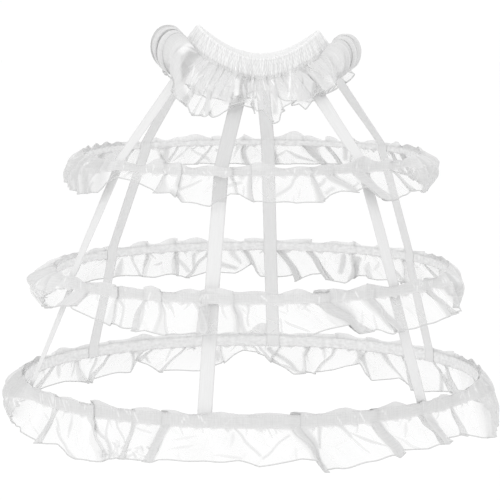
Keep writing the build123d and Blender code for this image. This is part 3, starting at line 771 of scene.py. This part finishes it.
# %% Tones of a ruffle
SLASHES, SLASH_HEADS, SLITS, SLIT_HEADS, SLIT_PLACES = 75, (-0.2, 0.5), 14, (0.0, 0.7), (60, 115)
SLASH = dict(swing=(-1, 1.6), fall=(0.3, 0.8), halves=(1.0, 1.0), strength=(0.5, 1.0))
SLIT = dict(swing=(-2, 2), fall=(5, 16), halves=(1.8, 1.4), strength=(0.6, 1.0))
PATCH_COVER, LAYER_COVER, BAND_COVER, HEM_COVER, HEM_START = 0.07, 0.48, 0.95, 0.5, 0.985
EDGE_COVER, SCALLOP_MEAN, SCALLOP_SWING, SCALLOP_EASE = 0.8, 2.0, 2.6, 2.0
MASS_COVER, MASS_GATHER, MASS_EASE = 0.6, 0.38, 0.3
# The back of the band is painted lighter; folds, layers and gathers get painted shade.
FOLD_SHADE, LAYER_SHADE, GATHER_SHADE, BACK_PAINTED_LIGHT, HEADER_STRETCH = 0.24, 0.1, 0.16, 0.35, 8


# Painted highlights: the bright strokes across the band and in the puffs.
def painted_highlight_strokes(name, seed):
    """Bright lines as strokes: across the band where a gather turns over, and as slits in the puffs."""
    random, deep = np.random.default_rng(seed), 2 * HOOPS[name]["half"]
    strokes = []
    for turn in random.uniform(-180, 180, SLASHES):
        high = random.uniform(*SLASH_HEADS) * deep
        strokes.append(chosen_stroke(random, turn, high, **SLASH, unit=deep))
    first, last = SLIT_PLACES
    for turn in np.concatenate([random.uniform(-last, -first, SLITS), random.uniform(first, last, SLITS)]):
        high = random.uniform(*SLIT_HEADS) * (deep + HOOPS[name]["drop"])
        strokes.append(chosen_stroke(random, turn, high, **SLIT))
    return strokes


def ruffle_marks(name, seed, lay, place, fall, folds, gathers):
    """Crowding and gleam of the strip, each from 0 to 1.

    Crowding adds up patches, layers, folds, hem, the edge at the stitching and the mass of a puff. The colour mark is
    the plain tone less painted shade in folds, layers and puffs, the band's painted shade by hoop with painted light on
    its back half, lifted to 1 along painted highlights.
    """
    hoop = HOOPS[name]
    wall = hoop["radius"] + RUFFLE_WALL
    turn = lay["spot"] / wall
    cloth_turn = lay["cloth"] / lay["length"] * TURN
    header, band, q = strip_rows()
    tight, _, dense, _, shade = puffed(name, turn)

    patches = PATCH_COVER * (1 + ripples(cloth_turn, fall, (6, 60), (-0.08, 0.08), 11, seed + 5))
    hem = HEM_COVER * (q > HEM_START)
    scallop = SCALLOP_MEAN + SCALLOP_SWING * ring_ripples(cloth_turn, (45, 130), 9, seed + 11)
    edge = EDGE_COVER * smooth((scallop - fall) / SCALLOP_EASE)
    massed = tight * (1 - smooth((q - dense) / MASS_EASE)) * (MASS_COVER + MASS_GATHER * smooth(0.6 - 0.7 * gathers))
    flounce = patches + LAYER_COVER * lay["cover"] + folds + hem + edge + massed
    crowding = np.clip(np.where(q > 0, flounce, BAND_COVER), 0.0, 1.0)

    # Painted highlights along the bright strokes, and painted light and shade in the colour mark below.
    from_edge = hoop["half"] * (1 - band) - HEADER_STRETCH * header + fall
    bright = stroke_marks(painted_highlight_strokes(name, seed + 8), place, from_edge, wall)
    flounce = PLAIN_TONE - FOLD_SHADE * folds - LAYER_SHADE * lay["cover"]
    plain = np.where(q > 0, flounce, hoop["tone"] + BACK_PAINTED_LIGHT * (np.cos(turn) < 0))
    plain = np.clip(plain - tight * (shade - GATHER_SHADE * np.clip(gathers, -1, 1)), 0.0, 1.0)
    painted_shading = np.clip(plain + (1 - plain) * bright, 0.0, 1.0)
    return dict(crowding=crowding, painted_shading=painted_shading)


print({name: len(painted_highlight_strokes(name, seed + 8)) for seed, name in enumerate(HOOPS, RUFFLE_SEED)}, "bright lines")

# %% [markdown]
# The lower edge of the organza is a rolled hem: the cloth is rolled up between two fingers and sewn, which gives a
# round edge of about 2 mm. It is a tube of six sides along the last row of points.

# %% Rolled hems and the three ruffles
HEM_THICKNESS, HEM_SIDES, HEM_TWIST_MM = 2.1, 6, 4
rolled_organza, tree, shader = new_material("rolled_organza_hem", Roughness=0.6, Specular_IOR_Level=0.25)
place = node(tree, "ShaderNodeTexCoord")
twist = node(tree, "ShaderNodeTexNoise", inputs={"Scale": 1 / (HEM_TWIST_MM * MM), "Detail": 1.0},
             links=[("Vector", place, "Object")])
tone_by(tree, shader, twist, "Fac", (0.3, "#D4D4D4"), (0.7, "#E0E0E0"))


def rolled_hem(name, line):
    """A closed tube round a ring of points: at each, a circle across the line's direction."""
    ahead = np.roll(line, -1, axis=0) - np.roll(line, 1, axis=0)
    ahead /= np.linalg.norm(ahead, axis=1, keepdims=True)
    side = np.cross(ahead, (0.0, 0.0, 1.0))
    side /= np.linalg.norm(side, axis=1, keepdims=True)
    up = np.cross(side, ahead)
    turns = np.arange(HEM_SIDES)[:, None, None] / HEM_SIDES * TURN
    points = line + HEM_THICKNESS / 2 * (np.cos(turns) * side - np.sin(turns) * up)
    return finish_piece(grid_piece(name, points, ring=True, tube=True), "organza", rolled_organza)


for seed, name in enumerate(HOOPS, RUFFLE_SEED):
    points, uv, strip = ruffle_shape(name, seed)
    marks = ruffle_marks(name, seed, **strip)
    piece = grid_piece(name + "_ruffle_cloth", points, ring=True, uv=uv, marks=marks)
    finish_piece(piece, "organza", sheer_organza)
    hem = rolled_hem(name + "_ruffle_hem", points[-1])
    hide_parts(name + "_ruffle")

# %% [markdown]
# ## The casings
# A ribbon on the inside of each hoop closes the channel of the bone. It is drawn up a little by the gathers, so it
# puckers. A turned ring would be too smooth: here its section is carried round the hoop and pushed in between the
# stitches.

# %% Casing ribbons
CASING_COLUMNS, CASING_SEED, PUCKER_COUNT, PUCKER_DEPTH, PUCKER_SLANT = 720, 40, 150, 0.5, 4.0
CASING_ACROSS, CASING_SHY, CASING_WAVER = (1.0, 0.6, 0.2, -0.2, -0.6, -1.0), 0.4, 0.4


def casing_cloth(hoop, seed):
    """A flat closed section carried round: its radius dips by the puckers and its edges waver a little."""
    turn = np.arange(CASING_COLUMNS) / CASING_COLUMNS * TURN
    across = np.array(CASING_ACROSS)
    edge = np.concatenate([across, across[::-1]])[:, None]
    inner = np.repeat([0.0, 1.0], len(across))[:, None]
    pucker = ripples(turn, PUCKER_SLANT * edge, (PUCKER_COUNT // 2, PUCKER_COUNT), (-0.4, 0.4), 8, seed)
    radius = hoop["radius"] - CASING_OUT - (CASING_IN - CASING_OUT) * inner - PUCKER_DEPTH * (1 + pucker) / 2
    half = hoop["half"] - CASING_SHY + CASING_WAVER * ring_ripples(turn, (40, 120), 6, seed + 1)
    height = hoop["level"] + edge * half
    wrapped = np.append(turn, TURN) * hoop["radius"] * MM
    uv_rows = np.append(edge[:, 0], edge[0, 0])[:, None] * hoop["half"] * MM
    return HOOP_MIDDLE + around(radius, turn, height), paired(uv_rows, wrapped)


for seed, (name, hoop) in enumerate(HOOPS.items(), CASING_SEED):
    points, uv = casing_cloth(hoop, seed)
    piece = grid_piece(name + "_casing_ribbon", points, ring=True, tube=True, uv=uv)
    finish_piece(piece, "casing_ribbon", casing_ribbon)
    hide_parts(name + "_casing")
    length = TURN * (hoop["radius"] - CASING_IN)

# %% [markdown]
# ## The waist
# The waistband is a folded tunnel drawn up on its elastic. Its rim and its seam are saddles: high at the two sides,
# where the cage is held, and low at front and back. The gathers are ridges of about 5 mm that wander a little, so
# their phase is bent by slow waves.

# %% Shapes shared by the waistband, the flounce and the tapes


def sideways(azimuth):
    """0 at front and back, 1 at left and right: the sine of the azimuth, squared."""
    return np.sin(azimuth) ** 2


def waist_height(rise, azimuth):
    """A line round the waist: it rises towards both sides and leans to the right."""
    return rise * sideways(azimuth) - WAIST_LEAN * np.sin(azimuth)


def seam_height(azimuth):
    """The waistband's lower edge: its rise towards the sides, less the height of the band."""
    return waist_height(SEAM_RISE, azimuth) - BAND_HEIGHT


def band_depth(azimuth):
    """How far the band reaches down from its rim."""
    return waist_height(RIM_RISE, azimuth) - seam_height(azimuth)


def band_radius(azimuth, share):
    """The body side of the band: it spreads towards the seam, and most at the sides."""
    return WAIST_RADIUS + (SEAM_SPREAD + SEAM_SIDE_SPREAD * sideways(azimuth)) * share


print("height of the band at the front and the side:", [round(float(band_depth(turn))) for turn in (0.0, TURN / 4)])

# %% The shirred waistband
BAND_COLUMNS, BAND_ROWS, LINING_ROWS, RIM_SHARE = 2280, 17, 9, 0.06
RIM_SHARES, RIM_OUTSIDE = [0.02, 0.0, 0.0, 0.02], [0.9, 0.65, 0.35, 0.1]
RIDGES, RIDGE_DEPTH, RIDGE_BEND, LINING_DEPTH, RIM_FRILL, RIM_END = 190, 1.3, 2.4, 0.5, 0.9, 0.03
BREAKS, BREAK_BEND, BREAK_EASE = ((74, 0.3), (76, 0.6)), 1.1, 0.06
STITCH_LINES, STITCH_BLUR, STITCH_FLAT = (0.9, 0.63, 0.33, 0.12), 0.04, 0.55
RIDGE_PAINTED_SHADING, CLOUD_TONE, STITCH_TONE, GRAIN_TONE, LINING_PAINTED_LIGHT = 0.8, 0.2, 0.15, 0.22, 0.25
azimuth = np.arange(BAND_COLUMNS) / BAND_COLUMNS * TURN
up_outside, down_inside = np.linspace(1.0, RIM_SHARE, BAND_ROWS), np.linspace(RIM_SHARE, 1.0, LINING_ROWS)
share = np.concatenate([up_outside, RIM_SHARES, down_inside])[:, None]
outside = np.concatenate([np.ones(BAND_ROWS), RIM_OUTSIDE, np.zeros(LINING_ROWS)])[:, None]
bend = ripples(azimuth, 3.0 * share, (6, 50), (-0.6, 0.6), 9, 71)
for seed, row in BREAKS:
    bend = bend + BREAK_BEND * smooth((share - row) / BREAK_EASE) * ring_ripples(azimuth, (40, 90), 7, seed)
swing = np.clip(0.65 + 0.35 * ripples(azimuth, 8.0 * share, (25, 70), (-1.0, 1.0), 8, 72), 0.15, 1.0)
ridge = 0.5 + 0.5 * swing * np.sin(RIDGES * azimuth + RIDGE_BEND * bend)
stitched = sum(np.exp(-((share - row) / STITCH_BLUR) ** 2) for row in STITCH_LINES)
swell = RIDGE_DEPTH * ridge * (1.0 - STITCH_FLAT * stitched)
radius = band_radius(azimuth, share) + outside * (BAND_LAYERS + swell) - (1 - outside) * LINING_DEPTH * ridge
frill = RIM_FRILL * (share < RIM_END) * (ridge - 0.5)
height = waist_height(RIM_RISE, azimuth) - share * band_depth(azimuth) + frill
# Painted highlight on the crests, painted shade in the valleys, and the lining painted lighter; clouds, stitching lines
# and grain vary the tone.
tone = (CLOUD_TONE * ripples(azimuth, 6.0 * share, (30, 90), (-1.0, 1.0), 8, 73) + STITCH_TONE * stitched
        + GRAIN_TONE * ripples(azimuth, 30.0 * share, (90, 210), (-1.0, 1.0), 10, 75))
crowding = np.clip((1.0 - RIDGE_PAINTED_SHADING * ridge + tone) * (LINING_PAINTED_LIGHT + (1 - LINING_PAINTED_LIGHT) * outside), 0.0, 1.0)
waistband = grid_piece("shirred_waistband", around(radius, azimuth, height)[::-1], ring=True,
                       marks={"crowding": crowding[::-1]})
finish_piece(waistband, "shirred_organza", shirred_organza)
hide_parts("waistband_casing")

# %% [markdown]
# The flounce below it is cut from the same organza and drawn up about twice as full. In front it lies on the slope of
# the tapes. At the sides it is pushed up, stands out and curls over, so its section there is an arc. The flounce is a
# fan of waves between these two. The hem's outline is read from the photograph as azimuth and length in mm, and dark
# folds and painted highlights as strokes, like those of the ruffles.

# %% Hem, folds and bright lines seen on the flounce
SEEN_HEMS = [(-180, 90), (-150, 94), (-120, 76), (-90, 62), (-67, 66), (-54, 86), (-43, 95), (-38, 95), (-35, 107),
             (-29, 105), (-26, 112), (-19, 106), (-14, 92), (-8, 80), (-3, 74), (-1, 94), (2, 86), (6, 107), (11, 95),
             (13, 76), (18, 71), (24, 68), (26, 84), (32, 70), (38, 68), (48, 64), (67, 58), (90, 56), (120, 76),
             (150, 94), (180, 90)]
WAIST_FOLDS = [(-32.8, 50, -24.2, 107, 4.5, 4.8, 0.95), (-29.2, 34, -16.8, 70, 7, 7, 0.6),
               (-43.7, 52, -38.7, 76, 3, 3, 0.8), (-60.1, 37, -43.9, 84, 10, 9, 0.9), (13.6, 6, 9.3, 77, 4.5, 4.5, 0.8),
               (25.4, 0, 19, 34, 7, 6, 0.85), (32.6, 5, 24.9, 60, 4.5, 4.5, 0.9), (37.6, 22, 28.3, 61, 9, 8, 0.9),
               (0.7, 4, 1.9, 86, 4, 4, 0.6), (-39.9, 40, -36.9, 69, 3, 3, 0.6), (-10.9, 24, -6.9, 66, 3, 3, 0.5)]
# Painted highlights on the flounce, as strokes.
WAIST_PAINTED_HIGHLIGHTS = [(-16.6, 12, -13, 57, 6, 6, 0.9), (11, 2, 12.5, 14, 1.5, 1.5, 1), (27.7, 0, 18, 55, 2, 2, 1),
                (-58, 5, -56, 30, 5, 5, 0.8), (-7.5, 12, -7, 35, 1.5, 1.5, 0.8), (4, 8, 5, 30, 1.5, 1.5, 0.8)]
print("flounce:", len(SEEN_HEMS), "places of the hem,", len(WAIST_FOLDS), "folds,", len(WAIST_PAINTED_HIGHLIGHTS), "bright lines")

# %% The shape of the flounce
FLOUNCE_LENGTH, FLOUNCE_HEADING, FLOUNCE_COLUMNS, FLOUNCE_DOWN = 104.0, 6.0, 1800, 30
FLOUNCE_REACH, FLOUNCE_LIFT, FLOUNCE_SAG, SIDE_SAG, REACH_CURVE = 14.0, 4.0, 10.0, 0.5, 0.75
HEADING_TUCK, FLOUNCE_GAP, SEAM_PUCKER, SEAM_FADE = 0.18, 1.9, 1.4, 16.0
FLOUNCE_FOLDS, FOLDS_UNEVEN, FOLDS_DRIFT, FOLD_OVER, FOLD_LAG = 26, 1.5, 0.9, 0.042, 0.6
CURL_OUT, CURL_UP, CURL_LOW, CURL_START, CURL_SWEEP, CURL_LEFT = 24.0, 31.0, 7.0, 151.0, 231.0, 1.2
CURL_SIDE, CURL_SIDE_EASE, CURL_BACK, CURL_BACK_EASE, CURL_CRINKLE = 0.72, 0.2, 0.45, 0.25, 2.2
TOP_SEAT = HOOPS["top"]["radius"] - CASING_IN
cloth = np.arange(FLOUNCE_COLUMNS) / FLOUNCE_COLUMNS * TURN
q = np.concatenate([np.zeros(3), np.linspace(0.0, 1.0, FLOUNCE_DOWN)])[:, None]
heading = np.concatenate([[1.0, 0.66, 0.33], np.zeros(FLOUNCE_DOWN)])[:, None]
wave_phase = FLOUNCE_FOLDS * cloth + FOLDS_UNEVEN * ring_ripples(cloth, (5, 17), 7, 81)
wave = np.sin(wave_phase + FOLDS_DRIFT * q * ring_ripples(cloth, (9, 21), 5, 82))
small = ring_ripples(cloth, (90, 150), 8, 83)
azimuth = cloth - FOLD_OVER * (0.35 + 0.65 * q) * np.sin(2 * wave_phase + FOLD_LAG)
side = sideways(azimuth)
degrees = signed_degrees(azimuth)
seam = band_radius(azimuth, 1.0 - HEADING_TUCK * heading) + TAPE_IN_BAND + FLOUNCE_GAP
hem = np.interp(degrees, *np.array(SEEN_HEMS, dtype=float).T)

# It lies on the slope from the seam to the top hoop, sags between the tapes, and stands off it by its waves.
run = TOP_SEAT - seam + HOOP_MIDDLE[0] * np.sin(azimuth)
drop = seam_height(azimuth) - HOOPS["top"]["level"] - HOOPS["top"]["half"]
held = np.sort([signed(tape[0]) for tape in TAPES.values()])
held = np.concatenate([[held[-1] - 360], held, [held[0] + 360]])
sag = np.sin(np.pi * np.interp(degrees, held, np.arange(len(held)))) ** 2 * (1 - SIDE_SAG * side)
fall = np.arctan2(drop, run) + np.radians(FLOUNCE_SAG * sag - FLOUNCE_LIFT)
reach = q * hem
rise = FLOUNCE_REACH * (0.5 + 0.5 * wave) * q ** REACH_CURVE + SEAM_PUCKER * small * np.exp(-reach / SEAM_FADE)
slope_out = reach * np.cos(fall) + rise * np.sin(fall)
slope_up = rise * np.cos(fall) - reach * np.sin(fall)

# At the sides an arc takes the place of the slope: it starts at the seam, rises, turns over and comes down outside.
curled = smooth((np.abs(np.sin(azimuth)) - CURL_SIDE) / CURL_SIDE_EASE)
curled = curled * smooth((np.cos(azimuth) + CURL_BACK) / CURL_BACK_EASE) * smooth(q * 20)
size = np.where(np.sin(azimuth) < 0, CURL_LEFT, 1.0) * (0.93 + 0.07 * wave)
angle = np.radians(CURL_START - CURL_SWEEP * q)
curl_out = size * CURL_OUT * (np.cos(angle) - math.cos(math.radians(CURL_START)))
curl_out = curl_out + CURL_CRINKLE * small * smooth(q * 4)
curl_up = size * (CURL_UP * np.sin(angle) - CURL_LOW)
radius = seam + slope_out + (curl_out - slope_out) * curled
height = seam_height(azimuth) + FLOUNCE_HEADING * heading + slope_up + (curl_up - slope_up) * curled
points = around(radius, azimuth, height)
print("the flounce reaches out to", round(float(radius.max())), "mm and up to", round(float(height.max())), "mm")

# %% The tones of the flounce
WAIST_CREASE = dict(swing=(-7, 7), fall=(10, 40), halves=(1.5, 1.3), strength=(0.2, 0.6))
WAIST_SLIT = dict(swing=(-2, 2), fall=(8, 24), halves=(1.4, 1.2), strength=(0.2, 0.7))
WAIST_CREASES, WAIST_SLITS, FOLD_RADIUS, HIGHLIGHT_RADIUS = 90, 80, WAIST_RADIUS + 60.0, WAIST_RADIUS + 40.0
SHEER_COVER, STREAK_COVER, STEEP_COVER, CLOUD_COVER, CURL_COVER = 0.04, 0.3, 0.08, 0.2, 0.85
SEAM_COVER, SEAM_DEPTH, FLOUNCE_DUSK, DUSK_END, DUSK_EASE = 0.3, 30.0, 0.42, 0.72, 0.25
EDGE_MORE, EDGE_START, BRIGHT_COVER, HEADING_COVER = 0.4, 0.98, 0.92, 0.9
FLOUNCE_TONE, CURL_SHADE, CURL_HIGHLIGHT, CURL_SLITS = 0.26, 0.45, 0.3, 0.7
random = np.random.default_rng(84)
creases = [chosen_stroke(random, turn, high, **WAIST_CREASE)
           for turn, high in zip(random.uniform(-180, 180, WAIST_CREASES), random.uniform(0, 60, WAIST_CREASES))]
slit_highlights = [chosen_stroke(random, turn, high, **WAIST_SLIT)
         for turn, high in zip(random.uniform(-180, 180, WAIST_SLITS), random.uniform(-4, 40, WAIST_SLITS))]
folds = stroke_marks(WAIST_FOLDS + creases, azimuth, reach, FOLD_RADIUS) * smooth(q * 8)
# Painted highlights: the listed strokes, streaks on the curls and slits between folds.
bright = np.maximum(stroke_marks(WAIST_PAINTED_HIGHLIGHTS, azimuth, reach, HIGHLIGHT_RADIUS),
                    CURL_HIGHLIGHT * curled * smooth(1.6 * small - 0.4))
bright = np.maximum(bright, stroke_marks(slit_highlights, azimuth, reach, HIGHLIGHT_RADIUS) * (1 - CURL_SLITS * curled))
steep = np.abs(np.cos(wave_phase)) ** 3
dusk = ripples(cloth, reach, (10, 44), (-0.05, 0.05), 10, 85)
streaks = ripples(cloth, reach, (40, 110), (-0.03, 0.03), 9, 86) * (1 - q)
gathered = SEAM_COVER * np.exp(-(reach / SEAM_DEPTH) ** 2) * smooth(0.8 - small)
# Painted shade: extra cover over the upper flounce outside the curls.
shaded = FLOUNCE_DUSK * (1 - curled) * smooth((DUSK_END - q) / DUSK_EASE) * smooth(0.8 + 0.6 * dusk)
crowding = (SHEER_COVER + STREAK_COVER * smooth(streaks) + STEEP_COVER * steep * (1 - 0.5 * q) + folds + gathered
            + CLOUD_COVER * smooth(dusk) + CURL_COVER * curled + shaded)
crowding = np.maximum(crowding + EDGE_MORE * (q > EDGE_START), BRIGHT_COVER * bright)
crowding = np.clip(np.where(heading > 0, HEADING_COVER, crowding), 0.0, 1.0)
# Painted shade: the flounce is greyer than the ruffles' plain tone and greyer still on the curls; painted highlights
# lift it to 1.
painted_shading = FLOUNCE_TONE * (1 - CURL_SHADE * curled) + (1 - FLOUNCE_TONE) * np.clip(bright, 0.0, 1.0)
print("mean crowding of the flounce:", round(float(crowding.mean()), 2), "and gleam:", round(float(painted_shading.mean()), 2))

# %% The flounce under the waistband
FULLNESS, CLOTH_RADIUS = 2.1, WAIST_RADIUS + 20
wrapped = np.append(cloth, TURN) * FULLNESS * CLOTH_RADIUS * MM
uv = paired(wrapped, (FLOUNCE_HEADING * heading - q * FLOUNCE_LENGTH) * MM)
flounce = grid_piece("waist_flounce", points, ring=True, uv=uv, marks=dict(crowding=crowding, painted_shading=painted_shading))
finish_piece(flounce, "organza", sheer_organza)
flounce_hem = rolled_hem("waist_flounce_hem", points[-1])
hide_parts("waist_ruffle")

# %% [markdown]
# ## The tapes
# Six satin ribbons carry the hoops. Each is sewn to the waistband, lies on the inside of every casing and runs
# straight between them under the weight of the hoops, with a slight twist where its ends point different ways.

# %% Satin tapes
ACROSS, SPAN_ROWS, SEAT_ROWS, PAINTED_SHADE_ROWS, TAPE_THICKNESS = 9, 26, 6, 6, 0.5
TAPE_SEED, TAPE_CLEAR, TAPE_BOW, TAPE_WAVER = 60, 0.3, 0.7, 0.35


def tape_edges(waist, hoops):
    """The left and right edge of a ribbon at its sections: two on the waistband and two on each hoop."""
    waist = math.radians(waist)
    seam_radius = band_radius(waist, 1.0) + TAPE_IN_BAND
    half = math.asin(TAPE_WIDTH / 2 / seam_radius)
    rows = []
    for above in (TAPE_TUCK, 0.0):
        ends = waist + np.array([-half, half])
        radius = (band_radius(ends, 1.0 - above / band_depth(ends)) + TAPE_IN_BAND) / math.cos(half)
        rows.append(around(radius, ends, seam_height(ends) + above))
    for hoop, azimuth in zip(HOOPS.values(), np.radians(hoops)):
        seat = (hoop["radius"] - CASING_IN) * math.cos(math.pi / CASING_FLATS) - TAPE_CLEAR
        inner = math.sqrt(seat ** 2 - (TAPE_WIDTH / 2) ** 2) - TAPE_THICKNESS
        across = around(TAPE_WIDTH / 2, azimuth + math.pi / 2, 0.0)
        for edge in (hoop["half"], -hoop["half"]):
            middle = HOOP_MIDDLE + around(inner, azimuth, hoop["level"] + edge)
            rows.append(np.stack([middle - across, middle + across]))
    return np.array(rows)


def tape_cloth(waist, hoops, seed):
    """A closed flat strip through those sections: edges run straight, the middle bows by a share of a millimetre."""
    edges = tape_edges(waist, hoops)
    steps = [SEAT_ROWS if i % 2 == 0 else SPAN_ROWS for i in range(len(edges) - 1)]
    knots = np.concatenate([[0], np.cumsum(steps)])
    rows = np.arange(knots[-1] + 1)
    lines = np.stack([[np.interp(rows, knots, edges[:, k, i]) for i in range(3)] for k in (0, 1)])
    left, right = np.moveaxis(lines, 1, 2)
    across = np.linspace(0.0, 1.0, ACROSS)[:, None, None]
    flat = left + (right - left) * across
    along = np.gradient((left + right) / 2, axis=0)
    normal = np.cross(right - left, along)
    normal /= np.linalg.norm(normal, axis=1, keepdims=True)
    normal *= np.sign(np.sum(normal * (left + right) * (1, 1, 0), axis=1, keepdims=True))
    seated = ((rows >= knots[0::2, None]) & (rows <= knots[1::2, None])).any(axis=0)
    free = np.convolve(np.where(seated, 0.0, 1.0), np.ones(5) / 5, mode="same")
    distance = np.concatenate([[0.0], np.cumsum(np.linalg.norm(np.diff((left + right) / 2, axis=0), axis=1))])
    share = across[:, :, 0]
    waver = TAPE_WAVER * ripples(share * 2, distance, (0, 1), (0.01, 0.05), 6, seed)
    bow = 4 * share * (1 - share) * TAPE_BOW + waver
    face = flat + normal * (free * bow)[:, :, None]
    points = np.concatenate([face, (face + normal * TAPE_THICKNESS)[::-1]])
    width = np.concatenate([across[:, 0, 0], across[::-1, 0, 0], [0.0]])[:, None] * TAPE_WIDTH
    uv = paired(width * MM, distance * MM)
    return points, uv, distance[-1], knots


for seed, (name, (waist, *hoops)) in enumerate(TAPES.items(), TAPE_SEED):
    points, uv, length, knots = tape_cloth(waist, hoops, seed)
    piece = grid_piece(name + "_satin", points, tube=True, capped=True, uv=uv)
    finish_piece(piece, "satin_ribbon", satin_back, satin_face, satin_painted_shade)
    columns = points.shape[1] - 1
    sides = np.zeros(len(piece.data.polygons), dtype=np.int32)
    body = sides[:2 * ACROSS * columns].reshape(2 * ACROSS, columns)
    body[ACROSS - 1:] = 1
    # Painted shade: the front tape takes the greyer ribbon from the waist to just below the top hoop.
    if name == "front_tape":
        body[:, :knots[3] + PAINTED_SHADE_ROWS] = 2
    piece.data.polygons.foreach_set("material_index", sides)
    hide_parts(name)
    print(name, "length", round(length), "mm")

# %% [markdown]
# ## Stitching
# Two rows of running stitch hold each ruffle to its casing, one above the bone and one below. A stitch is a small
# spindle of thread, and all the stitches of a row are copies set along the ring.

# %% Rows of stitches
STITCH_LENGTH, STITCH_STEP, STITCH_THICKNESS, STITCH_OUT, STITCH_IN = 3.2, 5.0, 0.5, 3.0, 0.6
SPINDLE, SPINDLE_SWELL, SPINDLE_SIDES = [-0.5, -0.3, 0.0, 0.3, 0.5], [0.15, 0.8, 1.0, 0.8, 0.15], 4


def stitch_row(name, radius, azimuth, height):
    """Spindles along a ring: rings of four points at five shares of a stitch's length, thickest in the middle."""
    share, swell = np.array(SPINDLE)[:, None], np.array(SPINDLE_SWELL)[:, None] * STITCH_THICKNESS / 2
    corner = np.arange(SPINDLE_SIDES) / SPINDLE_SIDES * TURN
    turns = azimuth[:, None, None] + share * STITCH_LENGTH / radius
    rings = HOOP_MIDDLE + around(radius + swell * np.cos(corner), turns, height + swell * np.sin(corner))
    count = len(SPINDLE) * SPINDLE_SIDES
    index = np.arange(count).reshape(len(SPINDLE), SPINDLE_SIDES)
    body = quads_of(np.hstack([index, index[:, :1]]))[:, ::-1]
    quads = np.vstack([body, index[:1], index[-1:, ::-1]])
    quads = (quads + count * np.arange(len(azimuth))[:, None, None]).reshape(-1, 4)
    mesh = bpy.data.meshes.new(name)
    mesh.from_pydata((rings.reshape(-1, 3) * MM).tolist(), [], quads.tolist())
    return add_piece(name, mesh)


for name, hoop in HOOPS.items():
    for row, edge in (("upper", 1.0), ("lower", -1.0)):
        radius = hoop["radius"] + RUFFLE_WALL + STITCH_OUT
        places = np.arange(0, TURN, STITCH_STEP / radius)
        height = hoop["level"] + edge * (hoop["half"] - STITCH_IN)
        piece = stitch_row(f"{name}_{row}_stitches", radius, places, height)
        finish_piece(piece, "casing_ribbon", thread)

# %% [markdown]
# ## The pieces kept from the solids
# Bones, joiners and the elastic are inside the cloth. Their solids have the right shape already, so they only get a
# finish.

# %% Finishes of the kept solids
KEPT = {"waist_elastic": elastic_rib}
for name in HOOPS:
    KEPT[name + "_bone"] = bone_cover
    KEPT[name + "_joiner"] = joiner_metal
for name, material in KEPT.items():
    nodes[name].data.materials.clear()
    nodes[name].data.materials.append(material)
print("kept solids:", ", ".join(KEPT))

# %% [markdown]
# ## Floor, light and camera
# The cage hangs at wearing height over a white floor. A wide soft light comes from the front and a little from the
# left, and the white surroundings fill the rest. What the camera sees behind the cage is plain white, as in the
# photograph, while the light on the cloth stays at a level where a colour renders about as it is written.

# %% Floor and surroundings
FLOOR_LEVEL, FLOOR_SIZE, FLOOR_GLOW, AMBIENT, BACKDROP = -1.05, 40.0, 0.115, 0.98, 1.02
WHITE = (1, 1, 1, 1)


def seen_directly(tree):
    """1 for rays from the camera, off a gloss or through glass, and 0 for those that light the object."""
    adding = {"operation": "ADD", "use_clamp": True}
    path = node(tree, "ShaderNodeLightPath")
    seen = node(tree, "ShaderNodeMath", adding, links=[(0, path, "Is Camera Ray"), (1, path, "Is Glossy Ray")])
    return node(tree, "ShaderNodeMath", adding, links=[(0, seen, "Value"), (1, path, "Is Transmission Ray")])


floor_mesh = bpy.data.meshes.new("studio_floor")
half = FLOOR_SIZE / 2
floor_mesh.from_pydata([(-half, -half, FLOOR_LEVEL), (half, -half, FLOOR_LEVEL), (half, half, FLOOR_LEVEL),
                        (-half, half, FLOOR_LEVEL)], [], [(0, 1, 2, 3)])
floor = add_object("studio_floor", floor_mesh)
floor_white, tree, shader = new_material("matt_white_floor", Base_Color=linear("#F4F4F4"), Emission_Color=WHITE,
                                         Roughness=0.9)
glow = node(tree, "ShaderNodeMath", {"operation": "MULTIPLY"}, inputs={1: FLOOR_GLOW},
            links=[(0, seen_directly(tree), "Value")])
tree.links.new(glow.outputs["Value"], shader.inputs["Emission Strength"])
floor_mesh.materials.append(floor_white)

world = bpy.data.worlds.new("white_surroundings")
bpy.context.scene.world = world
world.use_nodes = True
tree = world.node_tree
background = tree.nodes["Background"]
background.inputs["Color"].default_value = WHITE
strength = node(tree, "ShaderNodeMapRange", inputs={"To Min": AMBIENT, "To Max": BACKDROP},
                links=[("Value", seen_directly(tree), "Value")])
tree.links.new(strength.outputs["Result"], background.inputs["Strength"])
print("floor at", FLOOR_LEVEL, "m, surroundings at", AMBIENT)

# %% Soft lights
AIM = (0.0, 0.0, -0.3)


def soft_light(name, place, size, watts):
    """A square area light at a place, turned to face the middle of the cage."""
    lamp = bpy.data.lights.new(name, "AREA")
    lamp.size, lamp.energy = size, watts
    holder = add_object(name, lamp)
    holder.location = place
    to = np.array(AIM) - np.array(place)
    holder.rotation_euler = (math.atan2(math.hypot(to[0], to[1]), -to[2]), 0.0, math.atan2(-to[0], to[1]))
    print(name, watts, "W")


soft_light("front_light", (-1.6, -3.2, 1.6), 2.0, 14.0)
soft_light("rim_light", (2.2, 1.5, 1.8), 1.5, 4.0)

# %% The photograph's camera
CAMERA_PLACE, CAMERA_PITCH, CAMERA_LENS, SENSOR_WIDTH, CLIP_END = (-0.01375, -4.259, 0.2135), 7.32, 179.7, 36.0, 100.0
lens = bpy.data.cameras.new("photograph_camera")
lens.lens, lens.sensor_width, lens.clip_end = CAMERA_LENS, SENSOR_WIDTH, CLIP_END
camera = add_object("photograph_camera", lens)
camera.location = CAMERA_PLACE
camera.rotation_euler = (math.radians(90 - CAMERA_PITCH), 0.0, 0.0)
bpy.context.scene.camera = camera
bpy.context.scene.view_settings.view_transform = "Standard"
print("camera", round(math.hypot(*CAMERA_PLACE), 2), "m away, looking down by", CAMERA_PITCH, "degrees")
